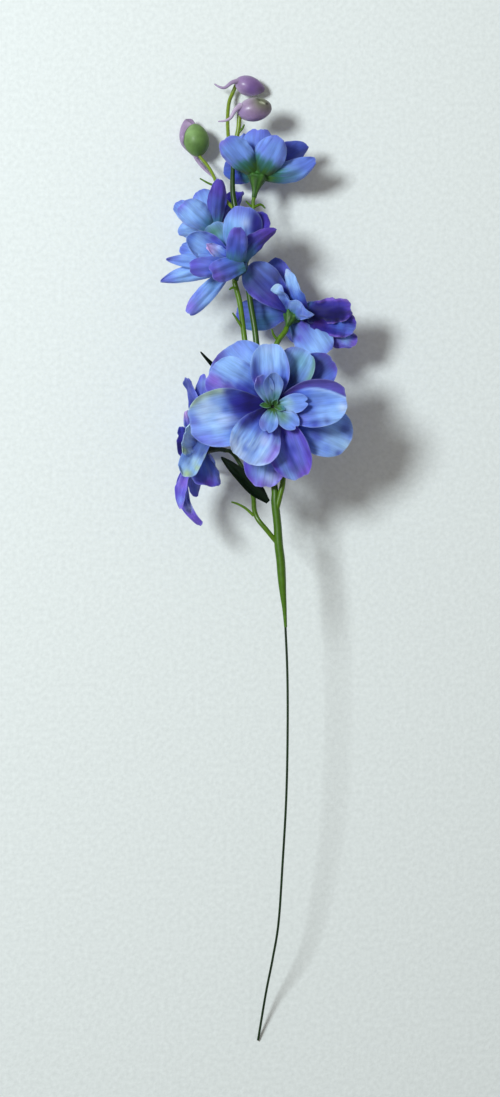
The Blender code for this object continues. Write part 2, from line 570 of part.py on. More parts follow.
def egg(design, offset):
    """The bud's egg, grown all round by the offset."""
    base, along = np.asarray(design["base"], float), unit(design["along"])
    route, radii = [], []
    for t in BUD_STATIONS:
        route.append(base + along * (design["length"] * t + (2 * t - 1) * offset))
        radii.append(bud_radius(t, design["radius"]) + offset)
    return tube(route, radii, 10)


def bud_hood(name, design, material):
    """Lilac sepal that clasps the egg's back, and the spur that grows from its base."""
    base, along, back = (np.asarray(design[key], float) for key in ("base", "along", "back"))
    along = unit(along)
    back = unit(back - (back @ along) * along)
    side = np.cross(along, back)
    offset = GAP + HOOD_THICKNESS / 2
    grid = np.zeros((len(BUD_STATIONS), HOOD_COLUMNS, 3))
    for r, t in enumerate(BUD_STATIONS):
        clear = offset + design["stand_off"] * t
        reach = math.radians(design["reach"]) * (0.5 + 0.5 * math.sin(math.pi * t) ** 0.5)
        for c, angle in enumerate(np.linspace(-reach, reach, HOOD_COLUMNS)):
            outward = math.cos(angle) * back + math.sin(angle) * side
            grid[r, c] = (base + along * (design["length"] * t + (2 * t - 1) * clear)
                          + outward * (bud_radius(t, design["radius"]) + clear))
    hood = solid(name, *blade(grid, HOOD_THICKNESS))
    spur = smooth_route(design["spur"], 7)
    horn = solid(name + "_spur", *tube(spur[:, :3], spur[:, 3], 6))
    hollow = solid(name + "_hollow", *egg(design, GAP * 0.7))
    return merged(name, [hood, horn], material, [hollow])


def centre_on_box():
    """Sets the part's origin under the middle of its box, on the surface."""
    corners = []
    for piece in bpy.data.objects:
        corners += [np.array(vertex.co) for vertex in piece.data.vertices]
    low, high = np.min(corners, axis=0), np.max(corners, axis=0)
    frame = bpy.data.objects.new("spray", None)
    bpy.context.scene.collection.objects.link(frame)
    frame.location = (-(low[0] + high[0]) / 2, -(low[1] + high[1]) / 2, -low[2])
    for piece in bpy.data.objects:
        if piece is not frame:
            piece.parent = frame


def main():
    clear_scene()
    stem_wire(surface("wire_lacquer", WIRE_LACQUER, 0.35))
    moulded_stem(surface("stem_plastic", GREEN_STEM, 0.35))
    for name, design in LEAVES.items():
        leaf(name, design, surface(name + "_green", GREEN_LEAF, 0.5))
    for number, design in BLOOMS.items():
        name = "bloom_%d" % number
        columns = FINE_COLUMNS if number == MAIN_BLOOM else PETAL_COLUMNS
        petal_blue = surface(name + "_petals_fabric", PETAL_BLUE, 0.8)
        bloom_petals(name + "_petals", design, columns, petal_blue)
        bloom_heart(name + "_heart", design, surface(name + "_heart_fabric", GREEN_HEART, 0.8))
        calyx_green = surface(name + "_calyx_green", GREEN_CALYX, 0.4)
        solid(name + "_calyx", *calyx_cone(design, 0.0), calyx_green)
    for number, design in BUDS.items():
        green = surface("bud_%d_green" % number, GREEN_BUD, 0.35)
        lilac = surface("bud_%d_lilac" % number, BUD_LILAC, 0.3)
        solid("bud_%d_body" % number, *egg(design, 0.0), green)
        bud_hood("bud_%d_hood" % number, design, lilac)
    centre_on_box()


main()
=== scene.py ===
# Looks of an artificial delphinium spray that lies on a pale surface, seen from above.
# Tables are in millimetres from the middle of the photographed spray, on the surface.
import math

import bpy
import numpy as np
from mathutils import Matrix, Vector


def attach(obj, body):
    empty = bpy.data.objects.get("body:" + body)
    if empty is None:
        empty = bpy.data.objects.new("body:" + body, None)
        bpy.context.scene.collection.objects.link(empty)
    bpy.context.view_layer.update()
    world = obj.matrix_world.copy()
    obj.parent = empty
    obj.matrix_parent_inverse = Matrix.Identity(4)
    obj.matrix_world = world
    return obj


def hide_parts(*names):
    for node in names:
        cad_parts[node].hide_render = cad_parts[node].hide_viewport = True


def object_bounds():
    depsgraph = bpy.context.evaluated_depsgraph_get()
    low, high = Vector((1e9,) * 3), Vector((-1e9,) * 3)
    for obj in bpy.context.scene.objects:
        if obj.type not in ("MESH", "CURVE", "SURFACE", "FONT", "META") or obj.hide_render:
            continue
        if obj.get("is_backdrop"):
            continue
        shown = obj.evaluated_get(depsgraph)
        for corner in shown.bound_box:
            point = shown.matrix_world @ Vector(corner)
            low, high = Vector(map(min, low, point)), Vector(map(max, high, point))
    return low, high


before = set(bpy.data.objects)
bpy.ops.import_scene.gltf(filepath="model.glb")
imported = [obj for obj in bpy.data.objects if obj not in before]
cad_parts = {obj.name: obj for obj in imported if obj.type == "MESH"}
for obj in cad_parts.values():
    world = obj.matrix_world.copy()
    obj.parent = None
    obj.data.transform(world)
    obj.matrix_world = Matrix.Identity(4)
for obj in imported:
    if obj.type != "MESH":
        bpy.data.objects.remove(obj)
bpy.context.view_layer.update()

millimetre = 0.001
fullTurn = 2 * math.pi
phases = (0, 6)                 # where a random wave may start, radians
view = {
    "height": 1500.0,           # camera over the surface, mm
    "focusHeight": 35.0,        # where a photo pixel is pixelSize wide
    "pixelSize": 0.52,
    "photo": (500, 1097),
}
wireTip = (4.3, -261.6, 0.62)   # where the wire's route starts in the tables
endRingDepth = 2.0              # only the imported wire's end ring is as close to its tip as this


def tableOrigin():
    # middle of the wire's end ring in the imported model, against the same point in the tables
    spots = np.array([v.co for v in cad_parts["stem_wire"].data.vertices]) / millimetre
    ring = spots[spots[:, 1] < spots[:, 1].min() + endRingDepth]
    middle = (ring.min(axis=0) + ring.max(axis=0)) / 2
    return np.array([middle[0] - wireTip[0], middle[1] - wireTip[1], 0.0])


origin = tableOrigin()


def pixelsOf(points):
    # photo pixels of table points, for placing dye
    scale = view["pixelSize"] * (view["height"] - points[:, 2]) / (view["height"] - view["focusHeight"])
    return np.column_stack([view["photo"][0] / 2 + points[:, 0] / scale,
                            view["photo"][1] / 2 - points[:, 1] / scale])


def linear(red, green, blue):
    # 0 to 255 screen colour to Blender's linear colour
    share = np.array([red, green, blue], float) / 255
    return np.where(share <= 0.04045, share / 12.92, ((share + 0.055) / 1.055) ** 2.4)


dyes = {name: linear(*colour) for name, colour in {
    "pale": (196, 214, 250), "ice": (176, 208, 226), "frost": (152, 184, 234), "sky": (146, 184, 244),
    "wash": (116, 148, 222), "cornflower": (80, 112, 206), "denim": (84, 108, 190), "slate": (82, 102, 190),
    "periwinkle": (108, 118, 212), "dusk": (74, 84, 150), "indigo": (56, 62, 160),
    "ultramarine": (42, 38, 148), "navy": (22, 16, 92), "pink": (200, 160, 222), "orchid": (138, 104, 208),
    "violet": (94, 72, 190), "amethyst": (86, 66, 160), "plum": (74, 42, 142), "mint": (118, 168, 190),
    "teal": (78, 134, 176), "sea": (62, 120, 120), "seaGreen": (52, 108, 84), "leafGreen": (56, 112, 44),
    "grass": (70, 118, 40), "moss": (96, 142, 84), "lime": (166, 190, 140),
}.items()}


def unit(vector):
    return np.asarray(vector, float) / np.linalg.norm(vector)


def ease(value):
    value = np.clip(value, 0, 1)
    return value * value * (3 - 2 * value)


def past(value, start):
    # eases from 0 at the start to 1 where the value is 1
    return ease((value - start) / (1 - start))


ripples = {"count": 5, "sizes": (0.6, 1.6), "phase": 6.3, "calm": 3}


def ripple(points, seed, size):
    # smooth random field about 0, the same on each run
    draw = np.random.default_rng(seed)
    total = np.zeros(len(points))
    for wave in range(ripples["count"]):
        heading = unit(draw.normal(size=3))
        length = size * draw.uniform(*ripples["sizes"])
        total += np.sin(points @ heading * fullTurn / length + draw.uniform(0, ripples["phase"]))
    return total / ripples["calm"]


sharpAngle = math.radians(70)   # edges sharper than this stay crisp


def meshObject(name, points, faces, colours=None, spans=None):
    mesh = bpy.data.meshes.new(name)
    mesh.from_pydata(((np.asarray(points) + origin) * millimetre).tolist(), [], faces)
    if colours is not None:
        # the dye colours, with the painted highlights and painted shade that some pieces carry
        dye = mesh.color_attributes.new("dye", "FLOAT_COLOR", "POINT")
        full = np.column_stack([colours, np.ones(len(colours))]).astype(np.float32)
        dye.data.foreach_set("color", full.ravel())
    if spans is not None:
        layer = mesh.uv_layers.new(name="cloth")
        corner = np.zeros(len(mesh.loops), np.int32)
        mesh.loops.foreach_get("vertex_index", corner)
        layer.data.foreach_set("uv", np.asarray(spans, np.float32)[corner].ravel())
    mesh.shade_smooth()
    mesh.set_sharp_from_angle(angle=sharpAngle)
    piece = bpy.data.objects.new(name, mesh)
    bpy.context.scene.collection.objects.link(piece)
    return piece


class Gathered:
    # several sheets and tubes that become one mesh
    def __init__(self):
        self.points, self.faces, self.colours, self.spans = [], [], [], []
        self.count = 0

    def add(self, points, faces, colours, spans=None):
        points = np.asarray(points, float)
        self.points.append(points)
        self.faces += [tuple(index + self.count for index in face) for face in faces]
        self.colours.append(np.broadcast_to(colours, (len(points), 3)))
        self.spans.append(np.zeros((len(points), 2)) if spans is None else spans)
        self.count += len(points)

    def make(self, name):
        return meshObject(name, np.vstack(self.points), self.faces, np.vstack(self.colours),
                          np.vstack(self.spans))


def dress(piece, material, node):
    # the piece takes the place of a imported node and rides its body
    piece.data.materials.append(material)
    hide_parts(node)
    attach(piece, "root")


routeSteps = 17                 # points on each span of a smooth route, before they are evened out


def smoothRoute(points, count):
    # a smooth line of count even steps through the points; a fourth column is the radius
    points = np.asarray(points, float)
    padded = np.vstack([2 * points[0] - points[1], points, 2 * points[-1] - points[-2]])
    fine = [points[0]]
    for index in range(1, len(padded) - 2):
        p0, p1, p2, p3 = padded[index - 1:index + 3]
        for t in np.linspace(0, 1, routeSteps)[1:]:
            fine.append(0.5 * (2 * p1 + (p2 - p0) * t + (2 * p0 - 5 * p1 + 4 * p2 - p3) * t**2
                               + (3 * p1 - p0 - 3 * p2 + p3) * t**3))
    fine = np.array(fine)
    steps = np.linalg.norm(np.diff(fine[:, :3], axis=0), axis=1)
    along = np.concatenate([[0], np.cumsum(steps)])
    places = np.linspace(0, along[-1], count)
    return np.column_stack([np.interp(places, along, fine[:, k]) for k in range(fine.shape[1])])


def ringFaces(rings, sides):
    # quads between rings of points that follow each other
    faces = []
    for ring in range(rings - 1):
        for step in range(sides):
            a, b = ring * sides + step, ring * sides + (step + 1) % sides
            faces.append((a, b, b + sides, a + sides))
    return faces


tubeForm = {"guide": (0.31, 0.17, 0.93), "endBulge": 0.3, "shortest": 1e-6}


def tube(centres, radii, sides, shapeRing=None):
    # closed tube with rounded ends; shapeRing(ring, angles) gives each ring's own outline
    centres = np.asarray(centres, float)
    radii = np.asarray(radii, float)
    tangents = np.gradient(centres, axis=0)
    tangents /= np.linalg.norm(tangents, axis=1)[:, None]
    side = unit(np.cross(tangents[0], tubeForm["guide"]))
    angles = fullTurn * np.arange(sides) / sides
    rings = []
    for index, (centre, tangent) in enumerate(zip(centres, tangents)):
        side = unit(side - (side @ tangent) * tangent)
        up = np.cross(tangent, side)
        reach = radii[index] * (1 if shapeRing is None else shapeRing(index, angles))
        reach = np.broadcast_to(reach, angles.shape)
        rings.append(centre + (reach * np.cos(angles))[:, None] * side
                     + (reach * np.sin(angles))[:, None] * up)
    bulge = tubeForm["endBulge"]
    points = np.vstack(rings + [centres[:1] - tangents[:1] * radii[0] * bulge,
                                centres[-1:] + tangents[-1:] * radii[-1] * bulge])
    faces = ringFaces(len(centres), sides)
    last = (len(centres) - 1) * sides
    low, high = last + sides, last + sides + 1
    for step in range(sides):
        after = (step + 1) % sides
        faces.append((low, after, step))
        faces.append((high, last + step, last + after))
    lengths = np.concatenate([[0], np.cumsum(np.linalg.norm(np.diff(centres, axis=0), axis=1))])
    along = np.append(np.repeat(lengths, sides), [0, lengths[-1]])
    around = np.append(np.tile(angles, len(centres)), [0, 0])
    return points, faces, along / max(lengths[-1], tubeForm["shortest"]), around


# claw width, place of the widest point, share of the width where the end meets the sides, fullness
outlines = {
    "round": (0.26, 0.58, 0.55, 2.1),
    "broad": (0.30, 0.60, 0.60, 2.35),
    "point": (0.30, 0.48, 0.10, 1.55),
    "tongue": (0.34, 0.64, 0.55, 2.3),
    "egg": (0.34, 0.52, 0.40, 1.8),
    "heart": (0.34, 0.62, 0.60, 2.3),
    "fan": (0.24, 0.82, 0.72, 2.6),
    "lance": (0.16, 0.50, 0.06, 1.6),
    "leaf": (0.30, 0.34, 0.08, 1.5),
}
clawRise = 1.2                  # how late a petal widens from its claw


def halfWidth(t, outline, ownClaw):
    claw, widest, end, fullness = outlines[outline]
    claw = claw if ownClaw is None else ownClaw
    rising = claw + (1 - claw) * np.sin(math.pi / 2 * np.minimum(t / widest, 1)) ** clawRise
    falling = np.clip((t - widest) / (1 - widest), 0, 1) * (1 - end**fullness) ** (1 / fullness)
    return np.where(t < widest, rising, (1 - falling**fullness) ** (1 / fullness))


# what a petal or leaf has where its own entry says nothing else; sizes in mm, angles in degrees
usualSheet = {
    "skin": "inside", "streaks": 0.03, "dabs": (), "bands": (), "folds": (),
    "root": None, "raised": 0.8, "claw": None, "notch": 0, "ragged": 0.008, "bow": 0,
    "crease": 0, "rollLeft": 0, "ruffle": 0.5, "waves": 2.0, "pleats": 1, "crumple": 1.2,
}
sheetDetail = {"rows": 38, "columns": 33, "thickness": 0.36}
sheetForm = {
    "pathSteps": 41, "crossSteps": 121,
    "notch": (0.24, 8),                     # its width, and how close to the end it stays
    "ragged": ((5, 1.0), (11, 0.5)),        # waves across the far edge and their share
    "sway": (0.04, 5),                      # the width's slow change along the petal
    "creaseWidth": 0.08, "creaseFade": (0.35, 0.8), "rollStart": 0.5,
    "rim": 2.2,                             # how closely the ruffle keeps to the rim
    "ruffleStart": 0.35,
    "secondRuffle": (0.5, 2.3),             # height and pace of the finer ruffle
    "outOfStep": (1.4, 2.0),                # between the left and right rim, radians
    "endRuffle": (0.75, 0.8, 4.2),          # start, height and waves of the far end's ruffle
    "pleats": (0.22, 9),                    # height and waves across
    "crumples": ((7.0, 0.5), (4.0, 0.5), (11.0, 0.3)),      # waves along and height
    "crumpleSlant": 0.45, "crumpleFade": 0.7, "crumpleLength": 36,
}


def curledPath(curl):
    # the midrib in its own plane: places on it, shares of the chord ahead and up, and the slope
    places = np.linspace(0, 1, sheetForm["pathSteps"])
    bends = math.radians(curl) * (places - 0.5)
    path = np.vstack([[0, 0], np.cumsum(np.column_stack([np.cos(bends), np.sin(bends)])[:-1], axis=0)])
    heading = path[-1] / np.linalg.norm(path[-1])
    spin = np.array([[heading[0], heading[1]], [-heading[1], heading[0]]])
    path = path @ spin.T / np.linalg.norm(path[-1])
    return places, path, bends - math.atan2(heading[1], heading[0])


def crossSection(petal):
    # drawn from its slope: cup, a crease at the midrib and a rolled left edge
    v = np.linspace(-1, 1, sheetForm["crossSteps"])
    slope = math.radians(petal["cup"]) * v
    slope = slope + math.radians(petal["crease"]) * np.tanh(v / sheetForm["creaseWidth"])
    slope = slope - math.radians(petal["rollLeft"]) * past(-v, sheetForm["rollStart"])
    middles = (slope[1:] + slope[:-1]) / 2
    step = v[1] - v[0]
    across = np.concatenate([[0], np.cumsum(np.cos(middles)) * step])
    raised = np.concatenate([[0], np.cumsum(np.sin(middles)) * step])
    centre = len(v) // 2
    return v, across - across[centre], raised - raised[centre]


def edgeUneven(petal, t, v, draw):
    # t pulled in at the corners and the notch, and made uneven at the far edge
    claw, widest, end, fullness = outlines[petal["outline"]]
    bulge = (1 - (end * np.abs(v)) ** fullness) ** (1 / fullness)
    u = t - (1 - widest) * np.clip((t - widest) / (1 - widest), 0, 1) * (1 - bulge)
    width, power = sheetForm["notch"]
    u = u - petal["notch"] * np.exp(-(v / width) ** 2) * t**power
    uneven = 0
    for count, share in sheetForm["ragged"]:
        uneven = uneven + share * np.sin(count * v + draw.uniform(*phases))
    return u + petal["ragged"] * t**4 * uneven


def ruffled(lifted, petal, t, v, chord, draw):
    # ruffles of the rim and the far end, then pleats and crumples, added to the sheet's height
    ruffle, turns, edge = petal["ruffle"], fullTurn * petal["waves"], np.sign(v)
    height, pace = sheetForm["secondRuffle"]
    lead, lag = sheetForm["outOfStep"]
    wave = np.sin(turns * t + draw.uniform(*phases) + lead * edge)
    wave = wave + height * np.sin(turns * pace * t + draw.uniform(*phases) - lag * edge)
    lifted = lifted + ruffle * np.abs(v) ** sheetForm["rim"] * ease(t / sheetForm["ruffleStart"]) * wave
    start, height, count = sheetForm["endRuffle"]
    lifted = lifted + ruffle * height * past(t, start) * np.sin(count * v + draw.uniform(*phases))
    middle = np.sin(math.pi * t)
    height, count = sheetForm["pleats"]
    lifted = lifted + height * np.sin(count * v + draw.uniform(*phases)) * middle * petal["pleats"]
    for count, height in sheetForm["crumples"]:
        slant = sheetForm["crumpleSlant"] * count
        crumple = np.sin(count * t + draw.uniform(*phases)) * np.sin(slant * v + draw.uniform(*phases))
        lifted = lifted + (petal["crumple"] * height * crumple * middle ** sheetForm["crumpleFade"]
                           * (chord / sheetForm["crumpleLength"]))
    return lifted


def sheetShape(root, petal, seed, level=(0.0, 0.0, 1.0), detail=sheetDetail):
    # middle surface of a petal or leaf, with t along it and v across it
    root, tip = np.asarray(root, float), np.asarray(petal["tip"], float)
    t = np.linspace(0, 1, detail["rows"])[:, None] * np.ones((1, detail["columns"]))
    v = np.ones((detail["rows"], 1)) * np.linspace(-1, 1, detail["columns"])[None, :]
    chord = np.linalg.norm(tip - root)
    ahead = (tip - root) / chord
    level = np.array(level, float)
    up = unit(level - (level @ ahead) * ahead)
    side = np.cross(ahead, up)
    turned = math.radians(petal["turn"])
    up, side = (math.cos(turned) * up + math.sin(turned) * side,
                math.cos(turned) * side - math.sin(turned) * up)
    draw = np.random.default_rng(seed)
    u = edgeUneven(petal, t, v, draw)
    places, path, bends = curledPath(petal["curl"])
    aheadShare = np.interp(u, places, path[:, 0])
    upShare = np.interp(u, places, path[:, 1])
    bend = np.interp(u, places, bends)
    half = petal["width"] / 2 * halfWidth(t, petal["outline"], petal["claw"])
    sway, count = sheetForm["sway"]
    half = half * (1 + sway * np.sin(count * t + draw.uniform(*phases)) * t)
    finer, across, raised = crossSection(petal)
    least, power = sheetForm["creaseFade"]
    fade = least + (1 - least) * np.sin(math.pi * t**power) if petal["crease"] else 1
    lifted = ruffled(half * np.interp(v, finer, raised) * fade, petal, t, v, chord, draw)
    sideways = half * np.interp(v, finer, across) + petal["bow"] * 4 * t * (1 - t)
    cosine, sine = np.cos(bend)[..., None], np.sin(bend)[..., None]
    grid = (root + chord * (aheadShare[..., None] * ahead + upShare[..., None] * up)
            + sideways[..., None] * side + lifted[..., None] * (cosine * up - sine * ahead))
    return grid, t, v, chord, half


def shellBetween(outer, inner):
    # two surfaces of one grid, joined along their rims
    rows, columns = outer.shape[:2]
    points = np.vstack([outer.reshape(-1, 3), inner.reshape(-1, 3)])
    under = rows * columns
    faces = []
    for r in range(rows - 1):
        for c in range(columns - 1):
            a, b = r * columns + c, r * columns + c + 1
            faces.append((a, a + columns, b + columns, b))
            faces.append((a + under, b + under, b + columns + under, a + columns + under))
    rim = list(range(columns)) + [r * columns + columns - 1 for r in range(1, rows)]
    rim += [(rows - 1) * columns + c for c in range(columns - 2, -1, -1)]
    rim += [r * columns for r in range(rows - 2, 0, -1)]
    for index, a in enumerate(rim):
        b = rim[(index + 1) % len(rim)]
        faces.append((a, b, b + under, a + under))
    return points, faces


rimShare = 0.45                 # how much of the thickness is left at the rim
lowest = 0.02                   # no sheet comes closer to the surface


def sheetSolid(grid, thickness):
    # both faces of the sheet and its rim
    normals = np.cross(np.gradient(grid, axis=0), np.gradient(grid, axis=1))
    normals /= np.maximum(np.linalg.norm(normals, axis=2), 1e-9)[:, :, None]
    edge = np.ones(grid.shape[:2])
    edge[:, (0, -1)] = rimShare
    edge[-1, :] = rimShare
    offset = normals * thickness / 2 * edge[..., None]
    points, faces = shellBetween(grid + offset, grid - offset)
    points[:, 2] = np.maximum(points[:, 2], lowest)
    return points, faces


# dye along a petal from its root, then the dye of its rim and how strong that is
skins = {
    "inside": (((0.22, "ultramarine"), (0.42, "cornflower"), (0.7, "sky")), "periwinkle", 0.45),
    "streaked": (((0.0, "navy"), (0.16, "ultramarine"), (0.42, "periwinkle"), (0.62, "sky"), (1.0, "pale")),
                 "periwinkle", 0.35),
    "lilac": (((0.0, "ultramarine"), (0.25, "violet"), (0.55, "periwinkle"), (0.8, "violet"),
               (1.0, "orchid")), "violet", 0.6),
    "outside": (((0.1, "grass"), (0.2, "seaGreen"), (0.33, "sea"), (0.5, "wash"), (0.8, "wash"),
                 (1.0, "periwinkle")), "periwinkle", 0.4),
    "shaded": (((0.0, "grass"), (0.14, "seaGreen"), (0.4, "sea"), (0.6, "indigo"), (1.0, "slate")),
               "periwinkle", 0.3),
    "violetBack": (((0.15, "teal"), (0.35, "indigo"), (0.75, "amethyst"), (1.0, "violet")), "plum", 0.4),
    "duskBack": (((0.0, "ultramarine"), (0.3, "indigo"), (0.55, "dusk"), (0.85, "dusk"), (1.0, "denim")),
                 "periwinkle", 0.25),
    "blueBack": (((0.0, "sea"), (0.16, "teal"), (0.35, "cornflower"), (0.7, "periwinkle"), (1.0, "violet")),
                 "periwinkle", 0.5),
    "washBack": (((0.0, "sea"), (0.14, "teal"), (0.3, "wash"), (0.75, "sky"), (1.0, "periwinkle")),
                 "periwinkle", 0.5),
    "deep": (((0.0, "navy"), (0.35, "ultramarine"), (0.7, "ultramarine"), (1.0, "violet")), "plum", 0.5),
    "slateBlue": (((0.0, "navy"), (0.3, "ultramarine"), (0.6, "slate")), "violet", 0.75),
    "heart": (((0.1, "grass"), (0.24, "mint"), (0.38, "frost"), (0.6, "wash")), "periwinkle", 0.35),
    "sprout": (((0.0, "leafGreen"), (0.5, "grass"), (1.0, "seaGreen")), "mint", 0.25),
}
dyeAndShading = {
    "fibres": ((9, 1.0, 0.0), (17, 1.0, 1.5), (31, 0.8, -2.0)),     # threads across, strength, drift
    "fibreEnd": 1.15, "wander": 9.0, "wanderAlong": 0.05, "wanderAcross": 0.04,
    "rim": (0.86, 0.3),                     # where its dye starts at the far end and ends at the foot
    "rimUneven": (0.8, 0.4),
    "cut": (0.955, 0.975, 0.25, 0.14),      # pale cut edge: at the side, end and foot, and its strength
    "bandFade": 0.15,
    "fold": (0.07, 0.12),                   # how crisp a folded part's edge is, and where it starts
    "foldHighlight": (0.5, 0.6, 0.3),            # painted highlight along a folded part's edge: strength and width, and where it starts
    "dabUneven": (0.22, 6.0),
    "paintedFootShade": (0.3, 0.5),                # painted shade at the foot, where hearts and other petals cover it: how much darker, and how far up
}


def dyeAndShadeOf(petal, points, t, v, seed):
    stops, rimDye, rimStrength = skins[petal["skin"]]
    wander = ripple(points, seed + 7, dyeAndShading["wander"])
    draw = np.random.default_rng(seed + 3)
    fibres = 0
    for count, strength, drift in dyeAndShading["fibres"]:
        fibres = fibres + strength * np.sin(count * v + draw.uniform(*phases) + drift * t)
    streaked = petal["streaks"] * fibres * np.clip(dyeAndShading["fibreEnd"] - t, 0, 1)
    along = np.clip(t + dyeAndShading["wanderAlong"] * wander + streaked, 0, 1)
    places = [place for place, dye in stops]
    colours = np.column_stack([np.interp(along, places, [dyes[dye][channel] for place, dye in stops])
                               for channel in range(3)])

    def mixIn(dye, share):
        share = np.clip(share, 0, 1)[:, None]
        return colours * (1 - share) + dyes[dye] * share

    side = np.abs(v)
    atEnd, atFoot = dyeAndShading["rim"]
    least, spread = dyeAndShading["rimUneven"]
    edge = np.maximum(side**4, past(t, atEnd)) * ease(t / atFoot)
    colours = mixIn(rimDye, rimStrength * edge * (least + spread * wander))
    # bands of dye along the petal; the narrow dark ones are painted shade along its creases and folds
    for middle, width, near, far, dye, strength in petal["bands"]:
        across = np.exp(-((v - middle + dyeAndShading["wanderAcross"] * wander) / width) ** 2)
        across = strength * across * ease((t - near) / dyeAndShading["bandFade"])
        colours = mixIn(dye, across * ease((far - t) / dyeAndShading["bandFade"]))
    crisp, first = dyeAndShading["fold"]
    strong, wide, start = dyeAndShading["foldHighlight"]
    for line, drift, dye, strength in petal["folds"]:
        beyond = (line + drift * t**3 - v) / crisp          # a part folded under, with a crisp edge
        colours = mixIn(dye, strength * ease(beyond) * ease((t - first) / first))
        # a pale line just inside the fold's edge: painted highlight
        colours = mixIn("pale", strong * np.exp(-((beyond + 0.5) / wide) ** 2) * ease((t - start) / start))
    shown = pixelsOf(points)
    uneven, size = dyeAndShading["dabUneven"]
    for px, py, reach, dye, strength in petal["dabs"]:
        away = np.hypot(shown[:, 0] - px, shown[:, 1] - py) / reach
        away = away * (1 + uneven * ripple(points, seed + px, size))
        colours = mixIn(dye, strength * np.exp(-away**2))
    atSide, atEnd, atFoot, strength = dyeAndShading["cut"]
    cut = np.maximum(past(side, atSide), past(t, atEnd)) * ease(t / atFoot)
    # painted shade: each sheet's foot is darkened where the hearts and the petals over it would shade it
    darker, upTo = dyeAndShading["paintedFootShade"]
    return mixIn("pale", strength * cut) * (1 - darker * (1 - ease(t / upTo)))[:, None]


clothPlacing = {"scale": 0.01, "shift": (0.37, 0.73), "repeat": 5}     # where each sheet lies on the cloth


def addSheet(gathered, root, petal, seed, level=(0.0, 0.0, 1.0), detail=sheetDetail):
    grid, t, v, chord, half = sheetShape(root, petal, seed, level, detail)
    points, faces = sheetSolid(grid, detail["thickness"])
    colours = dyeAndShadeOf(petal, points, np.tile(t.ravel(), 2), np.tile(v.ravel(), 2), seed)
    spans = np.column_stack([(v * half).ravel(), (t * chord).ravel()])
    shift = [seed * share % clothPlacing["repeat"] for share in clothPlacing["shift"]]
    spans = np.vstack([spans, spans]) * clothPlacing["scale"] + np.array(shift)
    gathered.add(points, faces, colours, spans)


seedStep = 40                   # a bloom's petals, and from half of it on its heart, have own seeds
rootReach = 2.2                 # from the hub to a petal's root
boss = {
    "size": 3.7, "rings": 9, "sides": 20, "split": 0.55,
    "stations": ((-1.9, 0.8), (-0.6, 1.0), (0.9, 0.94), (1.9, 0.7)),    # along the axis, share of size
}


def makePetals(number, bloom):
    name = "bloom_%d_petals" % number
    hub, axis = np.array(bloom["hub"]), unit(bloom["axis"])
    gathered = Gathered()
    for index, petal in enumerate(bloom["petals"]):
        tip = np.array(petal["tip"], float)
        outward = unit((tip - hub) - ((tip - hub) @ axis) * axis)
        root = petal["root"]
        if root is None:
            root = hub + rootReach * outward + petal["raised"] * axis
        addSheet(gathered, root, petal, number * seedStep + index)
    size = bloom.get("boss", boss["size"])
    route = smoothRoute([(*(hub + axis * rise), share * size) for rise, share in boss["stations"]],
                        boss["rings"])
    points, faces, along, around = tube(route[:, :3], route[:, 3], boss["sides"])
    colours = np.where((along < boss["split"])[:, None], dyes[bloom.get("foot", "leafGreen")],
                       dyes[bloom["throat"]])
    gathered.add(points, faces, colours)
    dress(gathered.make(name + "_sheets"), petalFabric, name)


heartForm = {
    "lift": 2.3, "rootRise": 2.04, "rootOut": 1.0, "guideLimit": 0.8,
    "detail": {"rows": 22, "columns": 15, "thickness": 0.34},
    "widthShare": 0.5,          # of a petal's length
    "petal": {"curl": 20, "cup": 35, "turn": 0, "outline": "heart", "notch": 0.1, "skin": "heart",
              "ruffle": 0.25, "waves": 1.0, "ragged": 0.003, "crumple": 0.7},
    # the open cup in the middle: height and radius of its wall, outside and then inside
    "wall": ((0.0, 1.5), (0.7, 1.6), (1.4, 1.66), (2.0, 1.66), (2.4, 1.6), (2.5, 1.48), (2.4, 1.36),
             (2.1, 1.26), (1.6, 1.1), (1.2, 0.7)),
    "sides": 24, "floor": 1.1, "insideFrom": 4.5,
    "rimWave": (0.3, 1.9),      # height, and from what height on
    "ribs": (0.1, 5),
    # the cup's inside, painted near-black as the shade in its hollow
    "inside": linear(14, 26, 12),
}


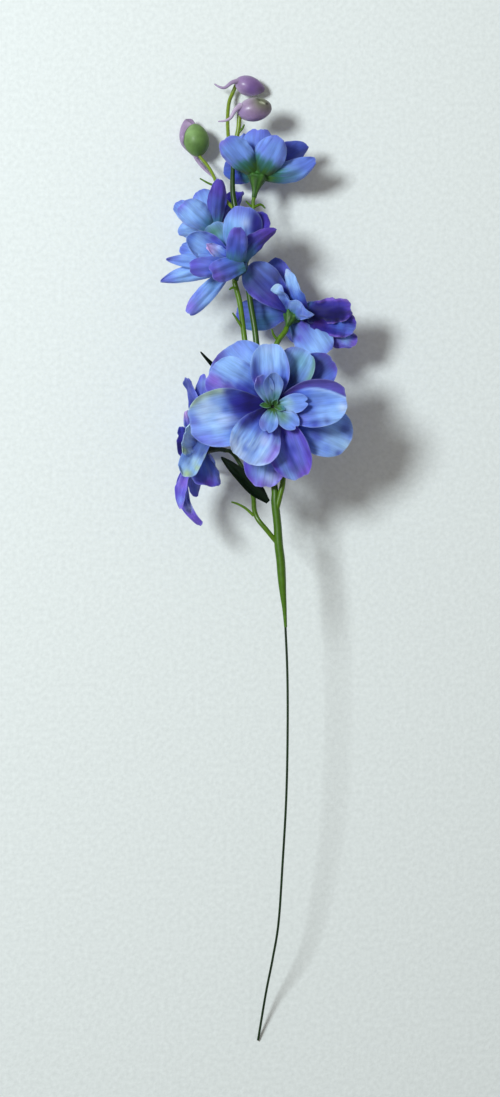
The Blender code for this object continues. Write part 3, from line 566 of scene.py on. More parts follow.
def makeHeart(number, bloom):
    name = "bloom_%d_heart" % number
    axis = unit(bloom["axis"])
    guide = np.array((1.0, 0, 0)) if abs(axis[0]) < heartForm["guideLimit"] else np.array((0, 1.0, 0))
    first = unit(guide - (guide @ axis) * axis)
    second = np.cross(axis, first)
    foot = np.array(bloom["hub"]) + axis * heartForm["lift"]
    gathered = Gathered()
    for index, (turn, rise, length) in enumerate(bloom["hearts"]):
        turned, lean = math.radians(turn), math.radians(rise)
        outward = math.cos(turned) * first + math.sin(turned) * second
        root = foot + axis * heartForm["rootRise"] + outward * heartForm["rootOut"]
        tip = root + length * (math.cos(lean) * outward + math.sin(lean) * axis)
        petal = {**usualSheet, **heartForm["petal"], "tip": tip,
                 "width": heartForm["widthShare"] * length, **bloom.get("heartLooks", {}).get(index, {})}
        seed = number * seedStep + seedStep // 2 + index
        addSheet(gathered, root, petal, seed, axis, heartForm["detail"])
    wall, sides = heartForm["wall"], heartForm["sides"]
    turns = fullTurn * np.arange(sides) / sides
    spokes = np.cos(turns)[:, None] * first + np.sin(turns)[:, None] * second
    height, above = heartForm["rimWave"]
    depth, ribs = heartForm["ribs"]
    points = [foot + axis * rise + axis * (height * np.sin(2 * turns + rise) * (rise > above))[:, None]
              + spokes * (radius * (1 + depth * np.cos(ribs * turns)))[:, None] for rise, radius in wall]
    points = np.vstack([*points, [foot], [foot + axis * heartForm["floor"]]])
    faces = ringFaces(len(wall), sides)
    top, under = sides * (len(wall) - 1), sides * len(wall)
    faces += [(under, (step + 1) % sides, step) for step in range(sides)]
    faces += [(under + 1, top + step, top + (step + 1) % sides) for step in range(sides)]
    place = np.append(np.repeat(np.arange(len(wall)), sides), [0, len(wall)])
    # painted shade: the inside of the cup darkens to near-black
    inside = np.clip((place - heartForm["insideFrom"]) / 2, 0, 1)[:, None]
    gathered.add(points, faces, dyes["grass"] * (1 - inside) + heartForm["inside"] * inside)
    dress(gathered.make(name + "_sheets"), petalFabric, name)


sepals = 5                      # of each calyx
calyxForm = {
    "drop": 2.3,                # from the hub down to the calyx's rim
    "under": 1.2, "footRadius": 1.25, "rings": 18, "sides": 50,
    "stations": ((0.35, 0.34), (0.72, 0.64)),       # share of the way up, share of the radius
    "shoulder": 0.9, "collarRadius": 0.93, "lobeStart": 0.5, "ribs": (0.03, 10),
    "sepalStart": 0.8, "sepalSharp": 3, "tipStart": 0.72, "tipStrength": 0.6,
    "usual": {"collar": 1.2, "lobes": 0.04, "sepals": 0.4, "calyxLook": "fresh"},
}
# rib and hollow: painted light on the sepal ribs and painted shade in the hollows between them; top: the
# colour at the rim
calyxLooks = {
    "fresh": {"rib": linear(62, 102, 32), "hollow": linear(34, 70, 18), "top": linear(56, 104, 44)},
    # this look paints shadow: near-black greens for a calyx lying in the shadow of another bloom
    "dark": {"rib": linear(14, 34, 12), "hollow": linear(6, 20, 6), "top": linear(12, 30, 16)},
    "dyed": {"rib": linear(60, 96, 120), "hollow": linear(40, 70, 80), "top": linear(70, 100, 170)},
}


def makeCalyx(number, bloom):
    name = "bloom_%d_calyx" % number
    bloom = {**calyxForm["usual"], **bloom}
    axis, foot, flare = unit(bloom["axis"]), np.array(bloom["calyxFoot"]), bloom["calyxRadius"]
    top = np.array(bloom["hub"]) - axis * calyxForm["drop"]
    under = top - axis * calyxForm["under"]
    stations = [(*foot, calyxForm["footRadius"])]
    stations += [(*(foot + way * (under - foot)), share * flare) for way, share in calyxForm["stations"]]
    stations += [(*under, calyxForm["shoulder"] * flare), (*top, flare),
                 (*(top + axis * bloom["collar"]), calyxForm["collarRadius"] * flare)]
    route = smoothRoute(stations, calyxForm["rings"])
    depth, ribs = calyxForm["ribs"]

    def ribbed(ring, angles):
        lobed = past(ring / (calyxForm["rings"] - 1), calyxForm["lobeStart"])
        return 1 + bloom["lobes"] * lobed * np.cos(sepals * angles) + depth * np.cos(ribs * angles)

    points, faces, along, around = tube(route[:, :3], route[:, 3], calyxForm["sides"], ribbed)
    sepal = np.abs(np.cos(sepals / 2 * around)) ** calyxForm["sepalSharp"]
    sepal = sepal * past(along, calyxForm["sepalStart"])
    outward = points - (top + np.outer((points - top) @ axis, axis))
    points = points + bloom["sepals"] * sepal[:, None] * (axis + outward / flare)
    # painted light and shade: lighter on the ribs, darker in the hollows between them
    shade = 0.5 + 0.5 * np.cos(sepals * around)
    looks = calyxLooks[bloom["calyxLook"]]
    colours = looks["hollow"] + (looks["rib"] - looks["hollow"]) * shade[:, None]
    share = calyxForm["tipStrength"] * past(along, calyxForm["tipStart"])[:, None]
    colours = colours * (1 - share) + looks["top"] * share
    dress(meshObject(name + "_moulding", points, faces, colours), calyxSkin, name)


def addNode(tree, kind, values=None, sources=None, **settings):
    # a shader node with plain values on some sockets and links into others
    node = tree.nodes.new(kind)
    for name, value in settings.items():
        setattr(node, name, value)
    for socket, value in (values or {}).items():
        node.inputs[socket].default_value = value
    for socket, source in (sources or {}).items():
        tree.links.new(source, node.inputs[socket])
    return node


def newGroup(name, inputs, outputs):
    group = bpy.data.node_groups.new(name, "ShaderNodeTree")
    for label, kind, value in inputs:
        socket = group.interface.new_socket(label, in_out="INPUT", socket_type=kind)
        if value is not None:
            socket.default_value = value
    for label, kind in outputs:
        group.interface.new_socket(label, in_out="OUTPUT", socket_type=kind)
    entry, leave = group.nodes.new("NodeGroupInput"), group.nodes.new("NodeGroupOutput")
    return group, entry.outputs, leave.inputs


def spreadOf(tree, source, fromRange, toRange):
    # the source's range stretched to another
    values = {"From Min": fromRange[0], "From Max": fromRange[1], "To Min": toRange[0], "To Max": toRange[1]}
    return addNode(tree, "ShaderNodeMapRange", values, {"Value": source}).outputs["Result"]


def worked(tree, operation, *terms):
    # a sum or product of sockets and plain numbers
    node = addNode(tree, "ShaderNodeMath", operation=operation)
    for index, term in enumerate(terms):
        if isinstance(term, float):
            node.inputs[index].default_value = term
        else:
            tree.links.new(term, node.inputs[index])
    return node.outputs["Value"]


def scaled(tree, colour, factor):
    node = addNode(tree, "ShaderNodeVectorMath", None, {0: colour, "Scale": factor}, operation="SCALE")
    return node.outputs["Vector"]


lookOutputs = (("Color", "NodeSocketColor"), ("Height", "NodeSocketFloat"), ("Roughness", "NodeSocketFloat"))
clothLook = {
    "threadStretch": (95, 9, 1), "foldStretch": (34, 4, 1),
    "threads": {"Scale": 1.0, "Detail": 5.0, "Roughness": 0.6}, "folds": {"Scale": 1.0, "Detail": 2.0},
    "threadSpread": ((0.32, 0.68), (-1.0, 1.0)), "foldSpread": ((0.3, 0.6), (-1.5, 0.6)),
    "weave": {"Scale": 62.0, "Distortion": 2.5, "Detail": 3.0}, "roughness": (0.55, 0.8),
}


def dyedCloth():
    # dyed cloth: the dye, streaked along the threads, and the height of the weave
    group, entry, leave = newGroup(
        "dyedCloth",
        [("Dye", "NodeSocketColor", None), ("Cloth", "NodeSocketVector", None),
         ("Streaks", "NodeSocketFloat", 0.2), ("Weave", "NodeSocketFloat", 0.4)], lookOutputs)

    def placed(**values):
        node = addNode(group, "ShaderNodeMapping", values, {"Vector": entry["Cloth"]})
        return {"Vector": node.outputs["Vector"]}

    def noise(stretch, look):
        place = placed(Scale=clothLook[stretch])
        return addNode(group, "ShaderNodeTexNoise", clothLook[look], place).outputs["Fac"]

    streak, fold = noise("threadStretch", "threads"), noise("foldStretch", "folds")
    together = worked(group, "ADD", spreadOf(group, streak, *clothLook["threadSpread"]),
                      spreadOf(group, fold, *clothLook["foldSpread"]))
    bright = worked(group, "ADD", worked(group, "MULTIPLY", together, entry["Streaks"]), 1.0)
    group.links.new(scaled(group, entry["Dye"], bright), leave["Color"])
    threads = []
    for turn in (0.0, math.pi / 2):
        place = placed(Rotation=(0, 0, turn))
        threads.append(addNode(group, "ShaderNodeTexWave", clothLook["weave"], place).outputs["Fac"])
    weave = worked(group, "MULTIPLY", worked(group, "ADD", *threads), entry["Weave"])
    group.links.new(worked(group, "ADD", weave, streak), leave["Height"])
    group.links.new(spreadOf(group, streak, (0.0, 1.0), clothLook["roughness"]), leave["Roughness"])
    return group


skinLook = {"noise": {"Detail": 4.0}, "spread": ((0.3, 0.7), (-1.0, 1.0)), "unevenGloss": 0.15}


def mouldedSkin():
    # moulded plastic: tint with soft blotches and a slightly uneven skin
    group, entry, leave = newGroup(
        "mouldedSkin",
        [("Tint", "NodeSocketColor", None), ("Blotches", "NodeSocketFloat", 0.2),
         ("Scale", "NodeSocketFloat", 250.0), ("Gloss", "NodeSocketFloat", 0.3)], lookOutputs)
    place = addNode(group, "ShaderNodeNewGeometry")
    noisy = addNode(group, "ShaderNodeTexNoise", skinLook["noise"],
                    {"Vector": place.outputs["Position"], "Scale": entry["Scale"]})
    blotch = noisy.outputs["Fac"]
    spread = spreadOf(group, blotch, *skinLook["spread"])
    bright = worked(group, "MULTIPLY_ADD", spread, entry["Blotches"], 1.0)
    group.links.new(scaled(group, entry["Tint"], bright), leave["Color"])
    group.links.new(blotch, leave["Height"])
    rough = worked(group, "MULTIPLY_ADD", blotch, skinLook["unevenGloss"], entry["Gloss"])
    group.links.new(rough, leave["Roughness"])
    return group


clothGroup = dyedCloth()
skinGroup = mouldedSkin()


def materialOf(name, group, values, bump, settings):
    # a material round a shared group, with its own values
    material = bpy.data.materials.new(name)
    material.use_nodes = True
    tree = material.node_tree
    shader = tree.nodes["Principled BSDF"]
    look = addNode(tree, "ShaderNodeGroup", node_tree=group)
    for socket, value in values.items():
        look.inputs[socket].default_value = value
    bumpNode = addNode(tree, "ShaderNodeBump", {"Strength": bump[0], "Distance": bump[1]},
                       {"Height": look.outputs["Height"]})
    tree.links.new(look.outputs["Color"], shader.inputs["Base Color"])
    tree.links.new(look.outputs["Roughness"], shader.inputs["Roughness"])
    tree.links.new(bumpNode.outputs["Normal"], shader.inputs["Normal"])
    for socket, value in settings.items():
        shader.inputs[socket].default_value = value
    return material, tree, look


def dyeOn(tree):
    return addNode(tree, "ShaderNodeAttribute", attribute_name="dye").outputs["Color"]


# strength and distance of each finish's bump, in metres, and what all materials of that kind share
clothFinish = {
    "bump": (0.35, 0.00015),
    "settings": {"Subsurface Weight": 0.4, "Subsurface Radius": (0.7, 0.8, 1.0), "Subsurface Scale": 0.001,
                 "Specular IOR Level": 0.25},
}
plasticFinish = {"bump": (0.2, 0.0002), "settings": {"Coat Roughness": 0.22}}


def clothMaterial(name, streaks, weave, sheen):
    material, tree, look = materialOf(name, clothGroup, {"Streaks": streaks, "Weave": weave},
                                      clothFinish["bump"], {"Sheen Weight": sheen, **clothFinish["settings"]})
    place = addNode(tree, "ShaderNodeUVMap", uv_map="cloth")
    tree.links.new(dyeOn(tree), look.inputs["Dye"])
    tree.links.new(place.outputs["UV"], look.inputs["Cloth"])
    return material


def plasticMaterial(name, blotches, scale, gloss, coat, tint=None, specular=0.3):
    material, tree, look = materialOf(
        name, skinGroup, {"Blotches": blotches, "Scale": scale, "Gloss": gloss}, plasticFinish["bump"],
        {"Coat Weight": coat, "Specular IOR Level": specular, **plasticFinish["settings"]})
    if tint is None:
        tree.links.new(dyeOn(tree), look.inputs["Tint"])
    else:
        look.inputs["Tint"].default_value = (*tint, 1)
    return material


petalFabric = clothMaterial("petalFabric", 0.13, 0.10, 0.12)
mouldedPlastic = plasticMaterial("mouldedPlastic", 0.16, 420.0, 0.30, 0.2)
calyxSkin = plasticMaterial("calyxSkin", 0.3, 700.0, 0.48, 0.04)
budSkin = plasticMaterial("budSkin", 0.16, 300.0, 0.42, 0.06)
hoodSkin = plasticMaterial("hoodSkin", 0.14, 260.0, 0.34, 0.25)
leafCloth = plasticMaterial("leafCloth", 0.3, 500.0, 0.62, 0.0, specular=0.12)
wireLacquer = plasticMaterial("wireLacquer", 0.3, 200.0, 0.4, 0.06, linear(20, 44, 12))
print("materials made")

# Blooms. Each petal: tip, width, curl along it, cup across it, turn about its midrib, outline, skin;
# dabs of dye are photo x, photo y, reach in pixels, dye and strength, and a few dabs are painted highlights
# and painted shade; bands run along the petal: place across it, width, near and far end, dye and strength,
# and the narrow dark bands are painted shade along creases and folds.


def petal(tip, width, curl, cup, turn, outline, skin, dabs=(), **more):
    return {**usualSheet, "tip": tip, "width": width, "curl": curl, "cup": cup, "turn": turn,
            "outline": outline, "skin": skin, "dabs": dabs, **more}


# turn about the axis, rise and share of the length of a closed heart's petals
closedHeart = ((4, 70.0, 1.0), (77, 74.0, 0.93), (149, 68.0, 1.04), (222, 73.0, 0.97), (291, 71.0, 0.9))
deepHearts = {index: {"skin": "deep"} for index in range(len(closedHeart))}


def closedHearts(length):
    return tuple((turn, rise, length * share) for turn, rise, share in closedHeart)


bloom1 = {
    "hub": (4.2, 197.0, 25.0), "axis": (0.10, 0.97, -0.06), "calyxFoot": (2.1, 183.4, 27.0),
    "calyxRadius": 5.0, "collar": 0.6, "sepals": 0.4, "boss": 2.6, "hearts": closedHearts(5.6),
    "throat": "seaGreen",
    "petals": (
        petal((-13.4, 212.2, 40), 17.6, 40, 50, 155, "broad", "outside",
              ((221, 140, 6, "orchid", 0.7), (226, 137, 6, "periwinkle", 0.5), (228, 150, 9, "wash", 0.6)),
              claw=0.6, raised=-0.8, pleats=1.5,
              bands=((0.9, 0.16, 0.35, 1.05, "orchid", 0.5), (-0.8, 0.25, 0.3, 0.95, "sky", 0.4))),
        petal((15.2, 213.2, 42), 20, 45, 56, 180, "egg", "outside",
              ((275, 150, 9, "wash", 0.5), (262, 148, 6, "periwinkle", 0.4)), claw=0.66, raised=-0.8,
              pleats=1.4,
              bands=((0.42, 0.07, 0.4, 1.0, "indigo", 0.55), (-0.75, 0.3, 0.4, 1.0, "periwinkle", 0.5))),
        petal((5, 219, 30), 20, 25, 50, 180, "broad", "outside",
              ((258, 137, 10, "periwinkle", 0.6), (253, 150, 7, "indigo", 0.6)), ragged=0.03, claw=0.5),
        petal((-4.4, 218, 17), 11, 20, 40, 150, "round", "outside",
              ((243, 138, 5, "wash", 0.6), (246, 146, 6, "indigo", 0.7)), claw=0.5),
        petal((-13.6, 197.6, 15), 17, 15, 40, 150, "broad", "shaded",
              ((230, 176, 7, "cornflower", 0.8), (240, 178, 5, "indigo", 0.6)), claw=0.5),
        petal((30.4, 211.2, 22), 17, 22, 45, -148, "egg", "shaded",
              ((298, 155, 10, "slate", 0.6), (305, 147, 5, "indigo", 0.5), (290, 165, 6, "navy", 0.35)),
              claw=0.5),
        petal((34.4, 202.4, 31), 13.5, 12, 40, -158, "egg", "outside",
              ((302, 165, 8, "slate", 0.7), (292, 176, 9, "seaGreen", 0.55),
               (312, 162, 6, "cornflower", 0.5)), claw=0.75, raised=-0.6, bow=-3.0),
        petal((19, 210, -1.5), 17, 25, 40, 0, "round", "inside"),
        petal((-4, 208.6, 2), 17, 20, 45, 20, "round", "inside"),
    ),
}

bloom2 = {
    "hub": (-18.8, 167.0, 27.0), "axis": (-0.50, 0.80, 0.10), "calyxFoot": (-15.7, 159.0, 28.0),
    "calyxRadius": 4.6, "hearts": closedHearts(4.5), "throat": "teal",
    "petals": (
        petal((-35.6, 179.2, 36), 18, 45, 55, 160, "broad", "washBack",
              ((195, 212, 12, "sky", 0.7), (179, 205, 5, "orchid", 0.4), (207, 222, 7, "teal", 0.7)),
              claw=0.45, pleats=1.6,
              bands=((0.1, 0.05, 0.3, 0.95, "indigo", 0.5), (0.9, 0.15, 0.4, 1.05, "violet", 0.3))),
        petal((-26.1, 187, 31), 16, 30, 50, 180, "broad", "washBack",
              ((203, 197, 8, "wash", 0.6), (209, 205, 6, "sky", 0.4), (193, 198, 5, "periwinkle", 0.5)),
              claw=0.45, pleats=1.5),
        petal((-16.1, 192, 37), 12.5, 15, 40, -165, "egg", "violetBack",
              ((218, 203, 9, "slate", 0.7), (221, 190, 6, "violet", 0.6), (214, 212, 6, "periwinkle", 0.6),
               (226, 208, 5, "ultramarine", 0.6)), claw=0.45, crease=10),
        petal((-39.8, 180, 25), 15, 25, 45, 140, "round", "washBack", ((177, 210, 8, "wash", 0.7),)),
        petal((-37.6, 165.6, 18), 13, 15, 40, 130, "round", "washBack", ((181, 228, 8, "sky", 0.6),)),
        petal((-5, 188.6, 12), 15, 15, 40, -45, "round", "deep", ((238, 200, 12, "ultramarine", 0.8),)),
        petal((-24.6, 185, 5), 16, 25, 45, 0, "round", "inside"),
        petal((-34, 174, -1.5), 15, 10, 35, 10, "round", "inside"),
    ),
}

bloom3 = {
    "hub": (-5.9, 147.0, 45.0), "axis": (-0.36, 0.62, 0.62), "calyxFoot": (-7.2, 140.0, 38.0),
    "calyxRadius": 3.7, "boss": 2.8, "hearts": closedHearts(3.7), "throat": "violet", "calyxLook": "dyed",
    "heartLooks": deepHearts,
    "petals": (
        # the pale dab near this petal's middle is a painted highlight
        petal((-3.4, 176.2, 50), 24, 40, 50, 172, "broad", "washBack",
              ((229, 232, 9, "teal", 0.75), (224, 222, 6, "wash", 0.6), (246, 223, 5, "pale", 0.7),
               (240, 212, 7, "periwinkle", 0.8), (257, 222, 9, "ultramarine", 0.95),
               (262, 235, 8, "navy", 0.6), (249, 240, 7, "wash", 0.5)), claw=0.5, pleats=1.6,
              bands=((-0.7, 0.42, 0.2, 1.0, "ultramarine", 0.95),
                     (-0.15, 0.06, 0.3, 0.8, "ultramarine", 0.6))),
        petal((6.4, 174.2, 42), 17, 30, 40, 150, "broad", "deep",
              ((262, 215, 6, "ultramarine", 0.9), (265, 232, 7, "violet", 0.6), (247, 245, 5, "teal", 0.5))),
        petal((-6.0, 164, 63), 12.5, 20, 50, 180, "egg", "blueBack",
              ((237, 231, 5, "amethyst", 0.8), (233, 243, 8, "indigo", 0.7),
               (226, 248, 4, "amethyst", 0.5), (240, 250, 6, "indigo", 0.5)), claw=0.9,
              root=(-7.4, 147.2, 49.4)),
        petal((13.6, 164.4, 51), 12, 40, 45, -150, "point", "violetBack",
              ((271, 235, 7, "plum", 0.8), (262, 250, 7, "ultramarine", 0.6), (252, 254, 7, "teal", 0.7)),
              claw=0.7, bow=3.0),
        petal((-19.6, 140.6, 58.5), 13, -20, 40, 180, "broad", "blueBack",
              ((224, 272, 7, "indigo", 0.5), (231, 266, 6, "slate", 0.6), (239, 261, 5, "denim", 0.9),
               (218, 276, 5, "orchid", 0.4)), claw=0.8, root=(-3.4, 147.6, 48.6), pleats=1.5),
        petal((-31, 144, 55), 12, 30, 50, 180, "broad", "blueBack",
              ((203, 266, 9, "periwinkle", 0.9), (193, 264, 5, "violet", 0.4),
               (214, 270, 6, "cornflower", 0.6)), claw=0.7, raised=1.2, pleats=1.4),
        petal((-43.4, 149, 47), 9.5, 15, 40, 170, "point", "washBack",
              ((168, 258, 5, "plum", 0.6), (184, 263, 8, "wash", 0.7), (176, 258, 5, "periwinkle", 0.7))),
        petal((-46.4, 138, 43), 11, -20, 40, 160, "point", "washBack",
              ((162, 280, 5, "plum", 0.6), (186, 281, 9, "sky", 0.8), (170, 282, 6, "periwinkle", 0.7))),
        petal((-32.1, 121.8, 38), 10.5, -22, 42, 168, "tongue", "washBack",
              ((190, 306, 7, "orchid", 0.7), (198, 294, 7, "periwinkle", 0.7), (212, 285, 7, "teal", 0.5),
               (206, 284, 5, "sky", 0.4))),
        petal((-32.2, 160.6, 50), 17, 50, 55, 0, "broad", "inside",
              ((190, 237, 6, "cornflower", 0.7), (186, 246, 6, "wash", 0.7), (200, 245, 7, "sky", 0.7),
               (214, 238, 6, "violet", 0.8), (206, 232, 6, "indigo", 0.6))),
        petal((-36.4, 155.2, 44), 14, 30, 50, 0, "round", "inside", ((182, 250, 7, "periwinkle", 0.8),)),
        petal((-21, 168, 38), 17, 35, 50, 0, "round", "inside",
              ((214, 232, 10, "leafGreen", 0.85), (222, 240, 6, "teal", 0.7))),
        petal((-22.4, 156.4, 50.5), 8.0, 30, 45, 10, "egg", "inside", ((207, 249, 8, "pink", 1.0),),
              raised=1.0),
    ),
}

bloom4 = {
    "hub": (22.4, 122.0, 33.0), "axis": (0.42, 0.76, -0.48), "calyxFoot": (19.0, 114.4, 37.6),
    "calyxRadius": 3.8, "collar": 0.4, "lobes": 0.1, "sepals": 1.0, "hearts": closedHearts(4.6),
    "throat": "seaGreen",
    "petals": (
        # this petal's dusk skin, dark dabs and navy band are partly its own dye and partly painted shade, as
        # it lies in shade
        petal((-1.2, 146.2, 40), 19.5, 14, 8, -173, "tongue", "duskBack",
              ((247, 276, 5, "teal", 0.5), (266, 266, 5, "wash", 0.5), (275, 296, 8, "amethyst", 0.7),
               (283, 305, 7, "ultramarine", 0.8), (266, 284, 7, "indigo", 0.5)), ruffle=0.8, pleats=2.4,
              crumple=1.8, claw=0.2,
              bands=((0.3, 0.07, 0.2, 0.95, "navy", 0.6), (-0.3, 0.08, 0.3, 0.95, "denim", 0.6),
                     (0.85, 0.2, 0.2, 0.8, "violet", 0.6))),
        petal((12, 152, 24), 15, 10, 35, 165, "round", "blueBack",
              ((275, 262, 8, "cornflower", 0.8), (280, 272, 8, "ultramarine", 0.7))),
        petal((19.0, 144.8, 42), 11.5, 26, 40, 132, "point", "inside",
              ((287, 272, 5, "pale", 0.7), (294, 286, 8, "sky", 0.8), (303, 297, 6, "cornflower", 0.8),
               (288, 292, 5, "indigo", 0.8), (308, 304, 6, "ultramarine", 0.8)), root=(27.6, 121.6, 33.0),
              claw=0.75),
        petal((22.2, 129.0, 44.8), 26, 40, 10, -34, "fan", "washBack",
              ((275, 286, 7, "ice", 0.9), (284, 293, 7, "wash", 0.8), (294, 303, 7, "sky", 0.8),
               (306, 310, 6, "wash", 0.9), (286, 304, 6, "indigo", 0.8), (300, 312, 5, "indigo", 0.7)),
              ruffle=1.8, waves=1, claw=0.5, crumple=1.4, ragged=0.16, pleats=5.0,
              root=(20.8, 122.8, 35.4)),
        petal((-7.3, 122.5, 22), 18, -20, 25, 180, "broad", "duskBack",
              ((250, 314, 15, "denim", 0.75), (264, 308, 9, "denim", 0.6), (262, 322, 8, "teal", 0.8),
               (254, 327, 8, "teal", 0.7), (272, 318, 6, "teal", 0.5), (240, 315, 5, "violet", 0.5)),
              ruffle=0.9, crumple=1.4, bands=((0.2, 0.06, 0.2, 0.9, "slate", 0.6),)),
        petal((38.4, 100.4, 37), 20, -23, 26, 177, "broad", "washBack",
              ((303, 324, 8, "violet", 0.9), (318, 345, 9, "sky", 0.8), (304, 338, 9, "periwinkle", 0.6),
               (299, 338, 4, "violet", 0.7)), claw=0.6, pleats=1.6),
        petal((52.6, 123.6, 42), 14, 10, 35, -165, "broad", "violetBack",
              ((318, 310, 8, "navy", 0.95), (328, 313, 7, "navy", 0.9), (341, 315, 6, "navy", 0.7)),
              ruffle=1.9, waves=3, claw=0.6, crumple=2.2,
              bands=((0.3, 0.6, 0.1, 1.0, "ultramarine", 0.8), (-0.35, 0.6, 0.1, 0.95, "navy", 1.0),
                     (0.92, 0.16, 0.3, 1.1, "orchid", 0.8), (-0.97, 0.08, 0.3, 1.05, "orchid", 0.8))),
        petal((55, 115.5, 36), 16, 0, 35, 180, "broad", "deep",
              ((330, 320, 12, "ultramarine", 0.8), (341, 324, 6, "cornflower", 0.95),
               (350, 329, 6, "denim", 0.9), (318, 322, 8, "plum", 0.9)), ruffle=1.6, waves=2.6,
              crumple=2.2,
              bands=((0.5, 0.5, 0.1, 0.75, "navy", 1.0), (-0.94, 0.1, 0.3, 1.05, "orchid", 0.8))),
        petal((55.8, 107.4, 30), 14, -10, 35, 170, "broad", "violetBack",
              ((346, 338, 6, "sky", 0.9), (354, 343, 4, "orchid", 0.8), (330, 334, 6, "plum", 0.6)),
              ruffle=1.6, waves=2.4, crumple=1.6, bands=((0.9, 0.14, 0.3, 1.05, "orchid", 0.8),)),
        petal((18, 143, 10), 16, 15, 40, 170, "round", "blueBack"),
        petal((43, 124, -1.5), 17, 10, 35, 180, "round", "blueBack"),
        petal((30, 110, -1.5), 16, -5, 30, 180, "round", "blueBack"),
    ),
}

